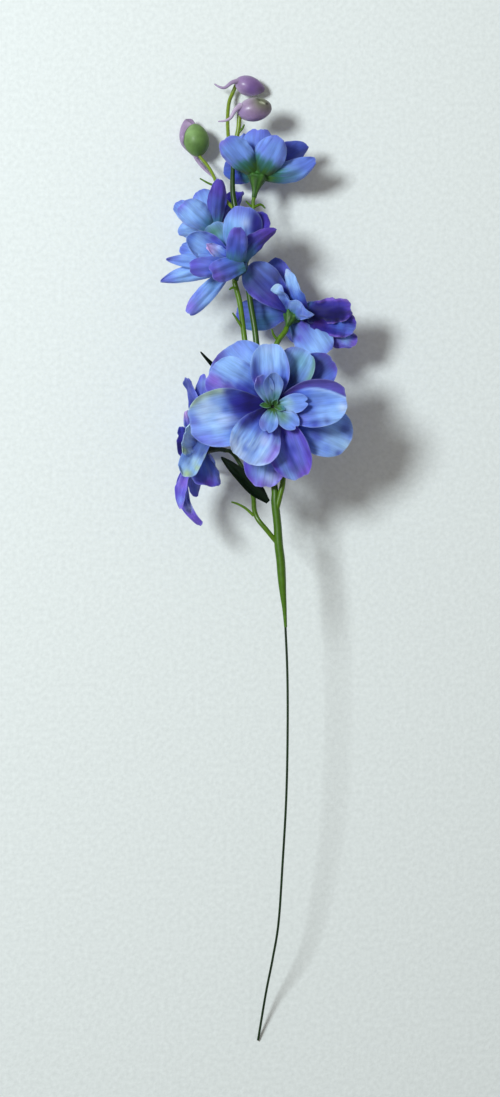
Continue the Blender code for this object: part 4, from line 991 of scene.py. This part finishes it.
bloom5 = {
    "hub": (11.5, 72.2, 58.0), "axis": (0.03, 0.05, 1.0), "calyxFoot": (12.4, 69.8, 48.2),
    "calyxRadius": 4.6, "lobes": 0.12, "throat": "leafGreen",
    "hearts": ((6, 27.0, 19.0), (-43, 25.0, 17.5), (-104, 30.0, 15.5), (116, 40.0, 20.0), (90, 43.0, 20.5),
               (176, 26.0, 6.4), (-18, 36.0, 6.8), (66, 58.0, 5.0)),
    "heartLooks": {
        0: {"width": 10.5, "notch": 0.12,
            "dabs": ((290, 402, 4, "moss", 0.4), (306, 411, 5, "periwinkle", 0.4))},
        1: {"width": 10.5, "dabs": ((296, 428, 6, "periwinkle", 0.4), (283, 416, 6, "grass", 0.8))},
        2: {"width": 10.0, "dabs": ((261, 424, 6, "orchid", 0.4), (270, 420, 5, "teal", 0.5))},
        3: {"width": 11.0, "outline": "tongue", "cup": 50, "notch": 0.02, "curl": 40,
            "dabs": ((257, 380, 7, "orchid", 0.75), (263, 391, 6, "mint", 0.6))},
        4: {"width": 11.5, "outline": "tongue", "cup": 54, "notch": 0.02, "curl": 40,
            "dabs": ((272, 377, 6, "frost", 0.7), (275, 395, 5, "sea", 0.8)),
            "bands": ((-0.1, 0.12, 0.15, 0.75, "indigo", 0.6),)},
        5: {"width": 4.4, "outline": "point", "notch": 0, "skin": "sprout", "cup": 62, "turn": 24},
        6: {"width": 4.2, "outline": "point", "notch": 0, "skin": "sprout", "cup": 66, "turn": -30,
            "dabs": ((284, 406, 4, "teal", 0.7),)},
        7: {"width": 4.0, "outline": "egg", "notch": 0, "skin": "sprout", "cup": 60, "turn": 20},
    },
    "petals": (
        petal((9.1, 104.0, 70), 21.0, -30, 30, 0, "broad", "inside",
              ((268, 349, 9, "pale", 0.4), (268, 362, 12, "sky", 0.7), (266, 378, 8, "periwinkle", 0.7),
               (259, 380, 5, "orchid", 0.5)), raised=2.4, pleats=1.8,
              bands=((-0.78, 0.2, 0.2, 0.92, "indigo", 0.85), (-0.5, 0.07, 0.25, 0.85, "dusk", 0.6),
                     (0.05, 0.2, 0.3, 0.75, "pale", 0.5), (0.62, 0.07, 0.2, 0.8, "indigo", 0.6),
                     (0.95, 0.1, 0.2, 0.8, "periwinkle", 0.7))),
        petal((-20.0, 91.4, 60), 26.5, -22, 22, -4, "broad", "inside",
              ((232, 358, 12, "sky", 0.8), (243, 391, 10, "ultramarine", 0.95),
               (211, 366, 5, "periwinkle", 0.7), (214, 381, 6, "orchid", 0.8),
               (228, 388, 6, "amethyst", 0.7)), raised=-0.4, pleats=1.5,
              bands=((-0.75, 0.5, 0.25, 1.1, "violet", 0.9), (-0.3, 0.25, 0.45, 1.1, "orchid", 0.6),
                     (0.5, 0.3, 0.4, 1.1, "sky", 0.6), (0.05, 0.07, 0.35, 1.0, "cornflower", 0.5),
                     (-0.1, 0.05, 0.3, 0.95, "indigo", 0.6))),
        petal((-14.6, 101.0, 56.5), 33, -10, 20, 0, "broad", "inside",
              ((216, 356, 12, "amethyst", 0.95), (213, 358, 6, "plum", 0.7),
               (240, 347, 12, "periwinkle", 0.5), (256, 347, 8, "cornflower", 0.5)), raised=-1.2),
        petal((-31.0, 64.2, 63), 31.5, -22, 30, -8, "broad", "inside",
              ((206, 408, 12, "pale", 0.7), (224, 420, 10, "pale", 0.6), (194, 422, 7, "periwinkle", 0.85),
               (203, 437, 9, "periwinkle", 0.8), (232, 440, 8, "sky", 0.6), (250, 396, 9, "navy", 0.85),
               (238, 400, 9, "ultramarine", 0.8), (226, 409, 5, "cornflower", 0.8),
               (228, 392, 7, "indigo", 0.8), (214, 400, 6, "wash", 0.6), (219, 428, 6, "frost", 0.5)),
              raised=0.5, ruffle=0.7, pleats=1.8,
              bands=((0.9, 0.22, 0.4, 1.1, "lime", 0.9), (0.3, 0.5, 0.0, 0.56, "ultramarine", 0.98),
                     (0.2, 0.3, 0.1, 0.4, "navy", 0.6), (-0.1, 0.06, 0.2, 0.75, "indigo", 0.6),
                     (-0.35, 0.05, 0.1, 0.7, "indigo", 0.7), (-0.6, 0.06, 0.3, 0.9, "cornflower", 0.6),
                     (-0.85, 0.2, 0.5, 1.1, "violet", 0.55))),
        petal((-3.4, 44.6, 69), 27, -34, 26, -10, "broad", "streaked",
              ((236, 452, 8, "pale", 0.6), (264, 441, 7, "pale", 0.6), (250, 432, 7, "sky", 0.7),
               (256, 417, 8, "ultramarine", 0.9), (262, 411, 7, "navy", 0.8),
               (246, 422, 6, "indigo", 0.75), (264, 425, 6, "cornflower", 0.8),
               (254, 428, 5, "cornflower", 0.6), (252, 455, 9, "wash", 0.7),
               (246, 449, 4, "cornflower", 0.7)), raised=2.6, ruffle=0.9, pleats=2.4,
              bands=((0.75, 0.3, 0.0, 0.6, "ultramarine", 0.8), (0.25, 0.05, 0.3, 0.95, "cornflower", 0.8),
                     (-0.2, 0.05, 0.3, 0.9, "denim", 0.8), (0.02, 0.04, 0.35, 0.8, "indigo", 0.6),
                     (0.6, 0.05, 0.4, 0.95, "denim", 0.8), (0.42, 0.03, 0.3, 0.8, "indigo", 0.6),
                     (-0.85, 0.2, 0.4, 0.95, "orchid", 0.8)), streaks=0.09),
        petal((6.3, 31.6, 53), 22.5, -10, 16, 0, "broad", "lilac",
              ((262, 468, 10, "sky", 0.95), (270, 478, 8, "pale", 0.6), (246, 466, 6, "violet", 0.7),
               (284, 478, 6, "orchid", 0.7)), raised=-1.0, ruffle=0.9),
        petal((26.0, 36.2, 58.5), 24.5, -26, 18, 8, "broad", "lilac",
              ((292, 478, 6, "sky", 0.6), (300, 425, 9, "violet", 0.8), (296, 468, 6, "dusk", 0.8),
               (292, 448, 6, "indigo", 0.8), (306, 440, 7, "violet", 0.7)), raised=-0.6, crease=20,
              ruffle=0.6, pleats=1.6,
              bands=((0.5, 0.26, 0.35, 1.05, "wash", 0.8), (0.0, 0.1, 0.2, 0.95, "indigo", 0.95),
                     (-0.35, 0.25, 0.45, 0.95, "periwinkle", 0.8), (-0.9, 0.2, 0.3, 1.0, "violet", 0.7),
                     (0.92, 0.14, 0.2, 0.9, "violet", 0.6))),
        # the slate dab at this petal's top is painted shadow from the petal above it
        petal((51.4, 54.6, 56), 27, -20, 20, 0, "broad", "inside",
              ((332, 441, 9, "frost", 0.7), (346, 446, 8, "ice", 0.6), (338, 453, 4, "dusk", 0.9),
               (345, 453, 4, "dusk", 0.6), (326, 448, 6, "denim", 0.7), (350, 436, 5, "denim", 0.6),
               (316, 436, 9, "ultramarine", 0.8), (345, 428, 6, "slate", 0.8)), raised=-1.0, ruffle=0.9,
              ragged=0.004),
        # the small pale dab at this petal's right rim is a painted highlight
        petal((49.2, 75.4, 69), 27.5, -24, 34, 0, "broad", "inside",
              ((318, 400, 11, "denim", 0.6), (343, 408, 4, "pale", 0.8), (336, 418, 5, "sky", 0.6),
               (315, 424, 7, "indigo", 0.85), (327, 421, 4, "dusk", 0.8), (302, 420, 8, "periwinkle", 0.8),
               (300, 400, 6, "indigo", 0.6), (330, 400, 8, "cornflower", 0.5)), raised=1.6, rollLeft=26,
              ruffle=0.5, pleats=1.6, folds=((-0.66, 0.5, "amethyst", 0.95),),
              bands=((-0.98, 0.14, 0.5, 1.05, "plum", 0.6), (0.05, 0.05, 0.3, 0.95, "cornflower", 0.45),
                     (0.1, 0.3, 0.5, 0.9, "sky", 0.4))),
        petal((28.0, 101.6, 62), 20.5, -20, 25, 0, "broad", "inside",
              ((286, 345, 7, "plum", 0.95), (294, 344, 5, "amethyst", 0.7), (302, 360, 8, "mint", 0.7),
               (300, 378, 6, "wash", 0.5), (288, 378, 8, "navy", 0.95), (298, 386, 6, "navy", 0.7)),
              raised=-0.2, pleats=1.3,
              bands=((0.92, 0.22, 0.35, 1.1, "moss", 0.75), (0.1, 0.4, 0.4, 0.95, "teal", 0.75),
                     (-0.6, 0.3, 0.1, 0.6, "navy", 0.8))),
        petal((42.4, 97.0, 55), 22, -5, 20, 0, "round", "slateBlue",
              ((322, 362, 9, "dusk", 0.95), (331, 374, 6, "denim", 0.8), (324, 353, 5, "amethyst", 0.6),
               (336, 366, 5, "amethyst", 0.8), (336, 378, 4, "periwinkle", 0.8),
               (312, 372, 6, "navy", 0.8)), raised=-1.4),
    ),
}

bloom6 = {
    "hub": (-23.9, 53.3, 36.0), "axis": (-0.98, 0.05, 0.15), "calyxFoot": (-12.5, 50.9, 37.0),
    # bloom 6's navy boss and near-black calyx are painted shadow, cast by bloom 5 over them
    "calyxRadius": 4.2, "lobes": 0.08, "hearts": closedHearts(5.2), "throat": "navy", "foot": "navy",
    "calyxLook": "dark",
    "heartLooks": deepHearts,
    "petals": (
        petal((-33, 88.6, 42), 9, 14, 40, -50, "round", "blueBack",
              ((186, 383, 8, "dusk", 0.95), (183, 395, 8, "dusk", 0.8), (190, 405, 8, "indigo", 0.8)),
              bow=2.0),
        petal((-21.7, 90.6, 44), 13, -15, 40, -42, "broad", "blueBack",
              ((197, 388, 8, "dusk", 0.8), (205, 383, 5, "frost", 0.6), (209, 388, 5, "amethyst", 0.8),
               (193, 402, 8, "indigo", 0.8)), notch=0.12, claw=0.5),
        petal((-32.6, 71.0, 53.5), 6.5, 10, 40, -20, "egg", "inside",
              ((186, 414, 8, "pink", 0.95), (189, 422, 6, "orchid", 0.7)), bow=-2.0, crumple=1.2),
        petal((-34.6, 57.0, 55), 17.5, 24, 30, 6, "fan", "inside",
              ((188, 427, 9, "ice", 0.95), (187, 438, 8, "pale", 0.8), (184, 450, 5, "lime", 0.95),
               (198, 432, 4, "lime", 0.6), (190, 446, 4, "pale", 0.6)), crumple=1.8, ragged=0.05,
              pleats=2.0),
        petal((-37.4, 50.6, 45), 25, 16, 30, 6, "fan", "deep",
              ((180, 430, 8, "indigo", 0.95), (181, 448, 9, "navy", 0.9), (181, 466, 8, "indigo", 0.9)),
              ragged=0.06, pleats=2.0),
        petal((-33.0, 36.6, 61), 12.5, 16, 30, 8, "tongue", "inside",
              ((203, 432, 8, "wash", 0.9), (201, 446, 8, "wash", 0.9), (194, 460, 7, "ice", 0.8),
               (187, 474, 5, "lime", 0.95), (207, 456, 4, "lime", 0.7), (197, 468, 4, "lime", 0.8)),
              root=(-23.6, 56.4, 39.6), bow=1.2, claw=0.7, crumple=1.8),
        petal((-20.2, 32, 50.6), 17, -10, 30, 150, "broad", "blueBack",
              ((214, 456, 10, "periwinkle", 0.95), (208, 484, 7, "plum", 0.95),
               (200, 474, 6, "indigo", 0.7), (206, 468, 6, "wash", 0.6)), pleats=1.5),
        petal((-36.0, 20.4, 44), 7, -14, 30, 40, "tongue", "lilac",
              ((182, 470, 7, "indigo", 0.8), (183, 482, 7, "orchid", 0.9), (181, 500, 5, "wash", 0.6)),
              bow=3.5, claw=0.5),
        petal((-26.2, 11.8, 38), 7.5, -20, 30, 20, "tongue", "lilac",
              ((183, 494, 5, "pale", 0.9), (188, 508, 4, "pale", 0.7), (198, 519, 7, "amethyst", 0.95),
               (190, 500, 5, "indigo", 0.8)), bow=9.5, claw=0.5),
        petal((-27.6, 27.4, 20), 13, -10, 40, 120, "round", "blueBack",
              ((195, 488, 6, "slate", 0.9), (190, 478, 6, "indigo", 0.7))),
        petal((-30, 61, -2), 18, 0, 25, 0, "round", "inside"),
        petal((-27, 41, -2), 18, 0, 25, 0, "round", "inside"),
        petal((-26, 74.6, 12), 15, -5, 35, -60, "round", "inside"),
    ),
}

blooms = {1: bloom1, 2: bloom2, 3: bloom3, 4: bloom4, 5: bloom5, 6: bloom6}
for number, bloom in blooms.items():
    makePetals(number, bloom)
    makeHeart(number, bloom)
    makeCalyx(number, bloom)
print("blooms made")

wire = {
    "route": (wireTip, (8.4, -235.0, 11.0), (11.8, -216.0, 20.5), (14.9, -195.4, 29.0),
              (16.9, -164.0, 37.0), (18.7, -130.4, 42.0), (19.4, -99.2, 44.6), (19.3, -65.4, 46.0),
              (18.0, -35.6, 46.8), (16.6, -15.0, 47.0), (15.4, -4.0, 47.0)),
    "radius": 0.62, "rings": 110, "sides": 16,
}


def makeWire():
    route = smoothRoute(wire["route"], wire["rings"])
    points, faces, along, around = tube(route, [wire["radius"]] * len(route), wire["sides"])
    dress(meshObject("stem_wire_lacquered", points, faces), wireLacquer, "stem_wire")


# each point's fourth value is the radius there
stem = {
    "main": ((18.4, -40.6, 46.75, 0.68), (18.2, -37.4, 46.8, 0.78), (17.7, -30.0, 46.8, 1.08),
             (17.1, -24.0, 46.9, 1.45), (16.4, -15.0, 47.0, 1.9), (15.8, -6.0, 47.0, 2.02),
             (14.8, 2.0, 47.0, 2.0), (14.2, 12.0, 47.0, 1.85), (12.9, 24.0, 47.0, 1.8),
             (12.7, 31.0, 47.0, 1.55), (9.0, 52.0, 46.4, 1.5), (5.0, 80.0, 44.0, 1.45),
             (3.1, 108.6, 40.6, 1.4), (0.3, 127.0, 37.2, 1.35), (-1.6, 140.4, 34.6, 1.3),
             (-4.4, 162.0, 31.6, 1.5), (-8.8, 184.6, 28.6, 1.25), (-8.9, 202.0, 26.0, 0.9)),
    "pedicels": {
        1: ((-2.4, 147.0, 33.6, 1.0), (1.2, 160.0, 31.0, 0.9), (1.8, 170.0, 29.0, 0.85)),
        2: ((-3.2, 153.0, 32.8, 1.1), (-9.0, 153.0, 30.2, 1.1)),
        3: ((4.6, 82.0, 43.8, 1.2), (-0.6, 96.0, 43.8, 1.25), (-2.8, 108.6, 42.6, 1.25),
            (-5.2, 127.0, 38.2, 1.25)),
        4: ((5.9, 74.0, 45.0, 1.2), (9.8, 92.0, 42.0, 1.2), (13.8, 106.0, 40.0, 1.2)),
        5: ((13.2, 19.0, 47.2, 1.4), (15.6, 28.0, 47.8, 1.3), (17.0, 35.0, 47.8, 1.25),
            (17.0, 50.0, 46.0, 1.2), (14.6, 63.0, 44.6, 1.2)),
        6: ((13.6, 3.4, 47.0, 1.1), (8.2, 10.0, 47.4, 1.1), (4.1, 15.0, 46.6, 1.1),
            (2.2, 20.0, 44.6, 1.1), (1.6, 27.0, 41.6, 1.05), (-1.6, 37.0, 38.0, 1.0),
            (-6.4, 46.0, 36.6, 0.95)),
    },
    "budStalks": {
        1: ((-8.9, 199.0, 26.4, 0.9), (-11.2, 214.4, 21.0, 0.85), (-11.8, 227.1, 13.0, 0.85),
            (-11.1, 236.4, 7.0, 0.85), (-9.4, 241.3, 4.8, 0.85)),
        2: ((-8.9, 199.0, 26.4, 0.9), (-7.6, 212.0, 25.6, 1.05), (-6.0, 220.0, 25.6, 1.05)),
        3: ((-8.0, 177.0, 29.4, 0.9), (-14.6, 184.9, 24.0, 0.85), (-20.7, 199.3, 15.0, 0.75)),
    },
    "bracts": (
        ((1.9, 17.0, 46.0, 0.7), (-2.4, 20.8, 46.0, 0.6), (-6.4, 23.0, 46.6, 0.5),
         (-9.6, 24.0, 47.6, 0.35)),
        ((15.0, 107.8, 39.8, 0.7), (12.6, 110.0, 40.6, 0.6), (11.2, 113.6, 42.0, 0.35)),
        ((-3.5, 113.6, 41.6, 0.7), (-6.4, 118.0, 42.8, 0.6), (-9.0, 121.8, 44.4, 0.35)),
        ((-6.6, 134.6, 37.8, 0.7), (-9.0, 135.4, 38.0, 0.55), (-10.8, 134.2, 38.6, 0.35)),
        ((2.0, 178.4, 27.8, 0.65), (5.6, 179.8, 27.2, 0.55), (8.0, 178.0, 26.0, 0.35)),
        ((2.0, 177.6, 27.8, 0.6), (-0.2, 179.6, 28.4, 0.5), (-2.2, 181.4, 29.2, 0.35)),
        ((1.8, 168.0, 29.4, 0.6), (5.0, 169.2, 29.0, 0.5), (8.6, 170.8, 28.4, 0.35)),
        ((-16.7, 189.9, 21.2, 0.6), (-21.3, 191.5, 21.0, 0.5), (-26.3, 194.3, 20.6, 0.35)),
        ((-6.2, 217.4, 25.6, 0.6), (-4.0, 219.6, 26.6, 0.5), (-3.0, 221.4, 28.0, 0.35)),
    ),
    # distance between rings and number of sides
    "detail": {"main": (2.0, 24), "pedicel": (1.6, 20), "stalk": (1.4, 18), "bract": (0.7, 12)},
    "fewestRings": 8, "fuller": 1.12,
    "seam": (0.06, 8),          # height and sharpness of the mould seams
    "seat": (2.7, 0.1, 1.05),   # a pedicel's last two points before its calyx, and how much it widens
    "budDepth": 0.8,            # a stalk's end inside its bud
    "mainLow": linear(70, 108, 6), "mainHigh": linear(28, 60, 6),
    # darkPedicel: a pedicel whose calyx is painted in shadow darkens towards it, painted shadow as well
    "pedicel": linear(82, 116, 10), "stalk": linear(118, 140, 36), "darkPedicel": linear(32, 56, 6),
}


def makeStem():
    gathered = Gathered()
    height, sharpness = stem["seam"]

    def seamed(ring, angles):
        return stem["fuller"] * (1 + height * np.cos(2 * angles) ** sharpness)

    def addBranch(points, kind, startColour, endColour):
        spacing, sides = stem["detail"][kind]
        length = np.linalg.norm(np.diff(np.asarray(points)[:, :3], axis=0), axis=1).sum()
        route = smoothRoute(points, max(stem["fewestRings"], int(length / spacing)))
        spots, faces, along, around = tube(route[:, :3], route[:, 3], sides, seamed)
        gathered.add(spots, faces, startColour + (endColour - startColour) * along[:, None])

    addBranch(stem["main"], "main", stem["mainLow"], stem["mainHigh"])
    before, last, wider = stem["seat"]
    for number, points in stem["pedicels"].items():
        bloom = blooms[number]
        seat = np.array(bloom["calyxFoot"])
        toward = unit(np.array(bloom["hub"]) - calyxForm["drop"] * unit(bloom["axis"]) - seat)
        radius = points[-1][3]
        whole = (*points, (*(seat - before * toward), radius), (*(seat - last * toward), radius * wider))
        dark = bloom.get("calyxLook") == "dark"
        addBranch(whole, "pedicel", stem["pedicel"], stem["darkPedicel" if dark else "pedicel"])
    for number, points in stem["budStalks"].items():
        inside = np.array(buds[number]["base"]) + stem["budDepth"] * unit(buds[number]["along"])
        addBranch((*points, (*inside, points[-1][3])), "stalk", stem["stalk"], stem["stalk"])
    for points in stem["bracts"]:
        addBranch(points, "bract", stem["pedicel"], stem["pedicel"])
    dress(gathered.make("moulded_stem_branches"), mouldedPlastic, "moulded_stem")


leaves = {
    "leaf_lower": {"root": (9.4, 24.0, 46.0), "tip": (-15.0, 47.3, 43.0), "width": 8.8, "curl": -14,
                   "cup": 20, "turn": 10, "outline": "leaf"},
    "leaf_upper": {"root": (3.7, 77.4, 42.95), "tip": (-25.8, 102.1, 38.0), "width": 5.4, "curl": 30,
                   "cup": 25, "turn": 52, "outline": "lance"},
}
leafForm = {
    "sheet": {"ragged": 0.004, "ruffle": 0.15, "crease": 8, "pleats": 0.4, "crumple": 0.4},
    "detail": {"rows": 40, "columns": 17, "thickness": 0.4},
    "midrib": 0.09, "veins": (26, 9),       # width of the midrib; count and slant of the side veins
    "veinShare": 0.35, "veinSharpness": 6, "ribShare": 0.5, "firstSeed": 300,
    "bladeColour": linear(2, 15, 2), "midribColour": linear(14, 36, 12),
}


def makeLeaf(name, leaf, seed):
    detail = leafForm["detail"]
    leaf = {**usualSheet, **leafForm["sheet"], **leaf}
    grid, t, v, chord, half = sheetShape(leaf["root"], leaf, seed, detail=detail)
    points, faces = sheetSolid(grid, detail["thickness"])
    t, v = np.tile(t.ravel(), 2), np.tile(v.ravel(), 2)
    count, slant = leafForm["veins"]
    veins = np.clip(np.sin(count * t - slant * np.abs(v)), 0, 1) ** leafForm["veinSharpness"]
    rib = np.exp(-(v / leafForm["midrib"]) ** 2) + leafForm["veinShare"] * veins
    blade = leafForm["bladeColour"]
    colours = blade + (leafForm["midribColour"] - blade) * (leafForm["ribShare"] * rib)[:, None]
    dress(meshObject(name + "_blade", points, faces, colours), leafCloth, name)


# base, direction, the way the hood's back faces, the hood's reach round the egg in degrees; dabs of
# colour are photo x, photo y, reach in pixels, screen colour and strength
buds = {
    1: {"base": (-7.7, 247.2, 5.7), "along": (1.0, -0.28, -0.02), "back": (0.05, 0.6, 0.8),
        "reach": 124.0, "length": 15.6, "radius": 4.9,
        # bud 1: the grey-brown dab at its right tip darkens the green tip, partly its own colour and partly
        # painted shade
        "dabs": ((252, 89, 6, (88, 58, 130), 0.6), (261, 90, 4, (84, 74, 92), 0.7),
                 (247, 76, 5, (140, 118, 162), 0.6), (256, 80, 5, (124, 96, 150), 0.5)),
        "spur": ((-5.4, 247.6, 7.6, 1.6), (-9.3, 246.6, 9.8, 1.1), (-13.3, 243.7, 10.2, 0.8),
                 (-16.2, 244.1, 10.2, 0.6), (-18.8, 245.7, 10.0, 0.35)),
        "body": linear(120, 124, 84), "hood": linear(126, 92, 148), "hoodPale": linear(164, 140, 176)},
    2: {"base": (-6.3, 228.4, 26.0), "along": (0.97, 0.16, -0.06), "back": (-0.15, -0.50, 0.86),
        "reach": 118.0, "length": 17.4, "radius": 5.8, "form": (1.0, 0.52),
        # bud 2: besides its green-grey patch and a lilac dab, two dark dabs and a near-black one are painted
        # shade in a slit and a pit near its tip, and the three pale ones between are a painted highlight
        # along the slit
        "dabs": ((262, 100, 12, (108, 112, 82), 1.0), (268, 107, 6, (98, 96, 84), 0.7),
                 (257.6, 98.6, 1.6, (46, 50, 32), 0.95), (259.6, 100.2, 1.2, (52, 56, 36), 0.95),
                 (260.6, 102.0, 0.9, (214, 216, 190), 0.9), (262.4, 102.8, 0.9, (222, 224, 200), 0.9),
                 (264.2, 103.4, 0.9, (210, 212, 186), 0.8), (266.8, 103.6, 1.3, (20, 16, 14), 1.0),
                 (240, 112, 7, (124, 98, 150), 0.5)),
        "spur": ((-4.6, 231.4, 28.6, 1.8), (-7.8, 228.6, 30.0, 1.15), (-10.0, 224.8, 30.2, 0.85),
                 (-13.0, 223.2, 30.2, 0.6), (-16.6, 222.8, 30.0, 0.35)),
        "body": linear(150, 156, 116), "hood": linear(150, 118, 162), "hoodPale": linear(182, 160, 190)},
    3: {"base": (-27.1, 207.2, 10.8), "along": (-0.14, 0.99, 0.02), "back": (-0.62, 0.12, -0.76),
        "reach": 72.0, "standOff": 3.4, "length": 17.4, "radius": 6.8, "filled": True, "form": (0.95, 0.52),
        "narrow": 0.85, "hoodDabs": ((182, 134, 6, (132, 100, 150), 0.4),),
        # bud 3: the pale green dab at the egg's upper left is painted light, and the dark green one at its
        # lower right is painted shade
        "dabs": ((188, 130, 8, (158, 190, 130), 0.5), (199, 148, 8, (60, 92, 40), 0.5)),
        "spur": ((-29.4, 210.2, 7.4, 1.7), (-27.8, 205.9, 6.0, 1.1), (-24.2, 201.4, 5.6, 0.8),
                 (-19.4, 196.7, 5.6, 0.35)),
        "body": linear(98, 128, 68), "hood": linear(148, 116, 160), "hoodPale": linear(172, 150, 180)},
}
usualBud = {"standOff": 0.0, "form": (0.85, 0.62), "filled": False, "narrow": 0}
eggForm = {
    "rings": 34, "sides": 40,
    "ends": (0.12, 0.12),       # how far the first and last ring stay from the egg's ends
    "lighter": (0.25, 1.5),     # share at the tip, and how much lighter
}
hoodForm = {
    "rows": 34, "columns": 48, "ends": (0.1, 0.2),
    "outside": 0.5, "inside": 0.1,      # clear of the egg
    "leastReach": 0.5, "endsRound": 0.5, "narrowed": (0.15, 0.5),
    "sides": (0.75, 4),                 # how much less the sides stand off, and how suddenly
    "pale": (0.75, 0.6),                # at the sides and at the foot
    "spurRings": 34, "spurSides": 20,
}


def ringPlaces(count, first, last):
    # places from 0 to 1, closer together towards both ends
    return 0.5 - 0.5 * np.cos(np.linspace(first, math.pi - last, count))


def eggRadius(t, radius, lean, full):
    return radius * np.sin(math.pi * np.clip(t, 0, 1) ** lean) ** full


def paintDabs(points, colours, dabs):
    shown = pixelsOf(points)
    for px, py, reach, colour, strength in dabs:
        share = strength * np.exp(-((shown[:, 0] - px) ** 2 + (shown[:, 1] - py) ** 2) / reach**2)
        colours += (linear(*colour) - colours) * share[:, None]


def makeEgg(number, bud):
    places = ringPlaces(eggForm["rings"], *eggForm["ends"])
    route = np.array(bud["base"]) + np.outer(bud["length"] * places, unit(bud["along"]))
    radii = eggRadius(places, bud["radius"], *bud["form"])
    points, faces, along, around = tube(route, radii, eggForm["sides"])
    most, brighter = eggForm["lighter"]
    lighter = ease(along)[:, None] * most
    colours = bud["body"] * (1 - lighter) + bud["body"] * brighter * lighter
    paintDabs(points, colours, bud["dabs"])
    dress(meshObject("bud_%d_egg" % number, points, faces, colours), budSkin,
          "bud_%d_body" % number)


def makeHood(number, bud):
    # a shell round the egg's back, and its spur
    base, along = np.array(bud["base"]), unit(bud["along"])
    back = np.array(bud["back"])
    back = unit(back - (back @ along) * along)
    side = np.cross(along, back)
    rows, columns = hoodForm["rows"], hoodForm["columns"]
    places = ringPlaces(rows, *hoodForm["ends"])
    outer, inner = np.zeros((rows, columns, 3)), np.zeros((rows, columns, 3))
    least, start, length = hoodForm["leastReach"], *hoodForm["narrowed"]
    less, sudden = hoodForm["sides"]
    for row, place in enumerate(places):
        rounded = math.sin(math.pi * min(place, 1)) ** hoodForm["endsRound"]
        reach = math.radians(bud["reach"]) * (least + (1 - least) * rounded)
        reach = reach * (1 - bud["narrow"] * (1 - ease((place - start) / length)))
        angles = np.linspace(-reach, reach, columns)
        outward = np.cos(angles)[:, None] * back + np.sin(angles)[:, None] * side
        stand = bud["standOff"] * place * (1 - less * (angles / reach) ** sudden)[:, None]
        under = hoodForm["inside"] + (0 if bud["filled"] else 1) * stand
        for face, clear in ((outer, hoodForm["outside"] + stand), (inner, under)):
            face[row] = (base + along * (bud["length"] * place + (2 * place - 1) * clear)
                         + outward * (eggRadius(place, bud["radius"], *bud["form"]) + clear))
    points, faces = shellBetween(outer, inner)
    across = np.tile(np.linspace(-1, 1, columns), 2 * rows)
    down = np.tile(np.repeat(places, columns), 2)
    atSides, atFoot = hoodForm["pale"]
    pale = np.clip(atSides * np.abs(across) ** 2 + atFoot * (1 - down) ** 2, 0, 1)[:, None]
    colours = bud["hood"] * (1 - pale) + bud["hoodPale"] * pale
    paintDabs(points, colours, bud.get("hoodDabs", bud["dabs"]))
    gathered = Gathered()
    gathered.add(points, faces, colours)
    spur = smoothRoute(bud["spur"], hoodForm["spurRings"])
    points, faces, along, around = tube(spur[:, :3], spur[:, 3], hoodForm["spurSides"])
    gathered.add(points, faces, bud["hoodPale"])
    dress(gathered.make("bud_%d_shell" % number), hoodSkin, "bud_%d_hood" % number)


makeWire()
makeStem()
for seed, (name, leaf) in enumerate(leaves.items(), leafForm["firstSeed"]):
    makeLeaf(name, leaf, seed)
for number, bud in buds.items():
    makeEgg(number, {**usualBud, **bud})
    makeHood(number, {**usualBud, **bud})
print("stem, leaves and buds made")

surface = {
    "size": 6.0, "clear": 0.0001,       # metres; clear of the lowest point
    "colour": linear(229, 231, 230), "grain": 0.05, "scale": 420.0, "gloss": 0.75, "bump": (0.35, 0.0006),
}


def makeSurface():
    reach = surface["size"] / 2
    mesh = bpy.data.meshes.new("paleSurface")
    mesh.from_pydata([(-reach, -reach, 0), (reach, -reach, 0), (reach, reach, 0), (-reach, reach, 0)], [],
                     [(0, 1, 2, 3)])
    piece = bpy.data.objects.new("paleSurface", mesh)
    bpy.context.scene.collection.objects.link(piece)
    piece.location.z = min(corner[2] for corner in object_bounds()) - surface["clear"]
    values = {"Tint": (*surface["colour"], 1), "Blotches": surface["grain"], "Scale": surface["scale"],
              "Gloss": surface["gloss"]}
    material, tree, look = materialOf("paleCloth", skinGroup, values, surface["bump"], {})
    mesh.materials.append(material)
    piece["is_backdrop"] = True


light = {
    "place": (-0.76, 0.45, 1.35), "target": (0, 0.05, 0.0), "size": 0.4, "power": 22.3,
    "colour": (0.88, 0.98, 1.0), "sky": (1.0, 0.985, 0.93), "skyStrength": 0.30,
}


def makeLight():
    lamp = bpy.data.lights.new("softWindow", "AREA")
    lamp.shape = "DISK"
    lamp.size = light["size"]
    lamp.energy = light["power"]
    lamp.color = light["colour"]
    holder = bpy.data.objects.new("softWindow", lamp)
    bpy.context.scene.collection.objects.link(holder)
    holder.location = light["place"]
    toward = Vector(light["target"]) - holder.location
    holder.rotation_euler = toward.to_track_quat("-Z", "Y").to_euler()
    world = bpy.data.worlds.new("softRoom")
    world.use_nodes = True
    sky = world.node_tree.nodes["Background"].inputs
    sky["Color"].default_value = (*light["sky"], 1)
    sky["Strength"].default_value = light["skyStrength"]
    bpy.context.scene.world = world


def makeCamera():
    camera = bpy.data.cameras.new("overhead")
    camera.sensor_fit = "VERTICAL"
    halfSpan = view["photo"][1] / 2 * view["pixelSize"]
    camera.angle = 2 * math.atan(halfSpan / (view["height"] - view["focusHeight"]))
    holder = bpy.data.objects.new("overhead", camera)
    bpy.context.scene.collection.objects.link(holder)
    holder.location = (origin[0] * millimetre, origin[1] * millimetre, view["height"] * millimetre)
    bpy.context.scene.camera = holder


makeSurface()
makeLight()
makeCamera()
bpy.context.scene.view_settings.view_transform = "Standard"
print("surface, light and camera made")
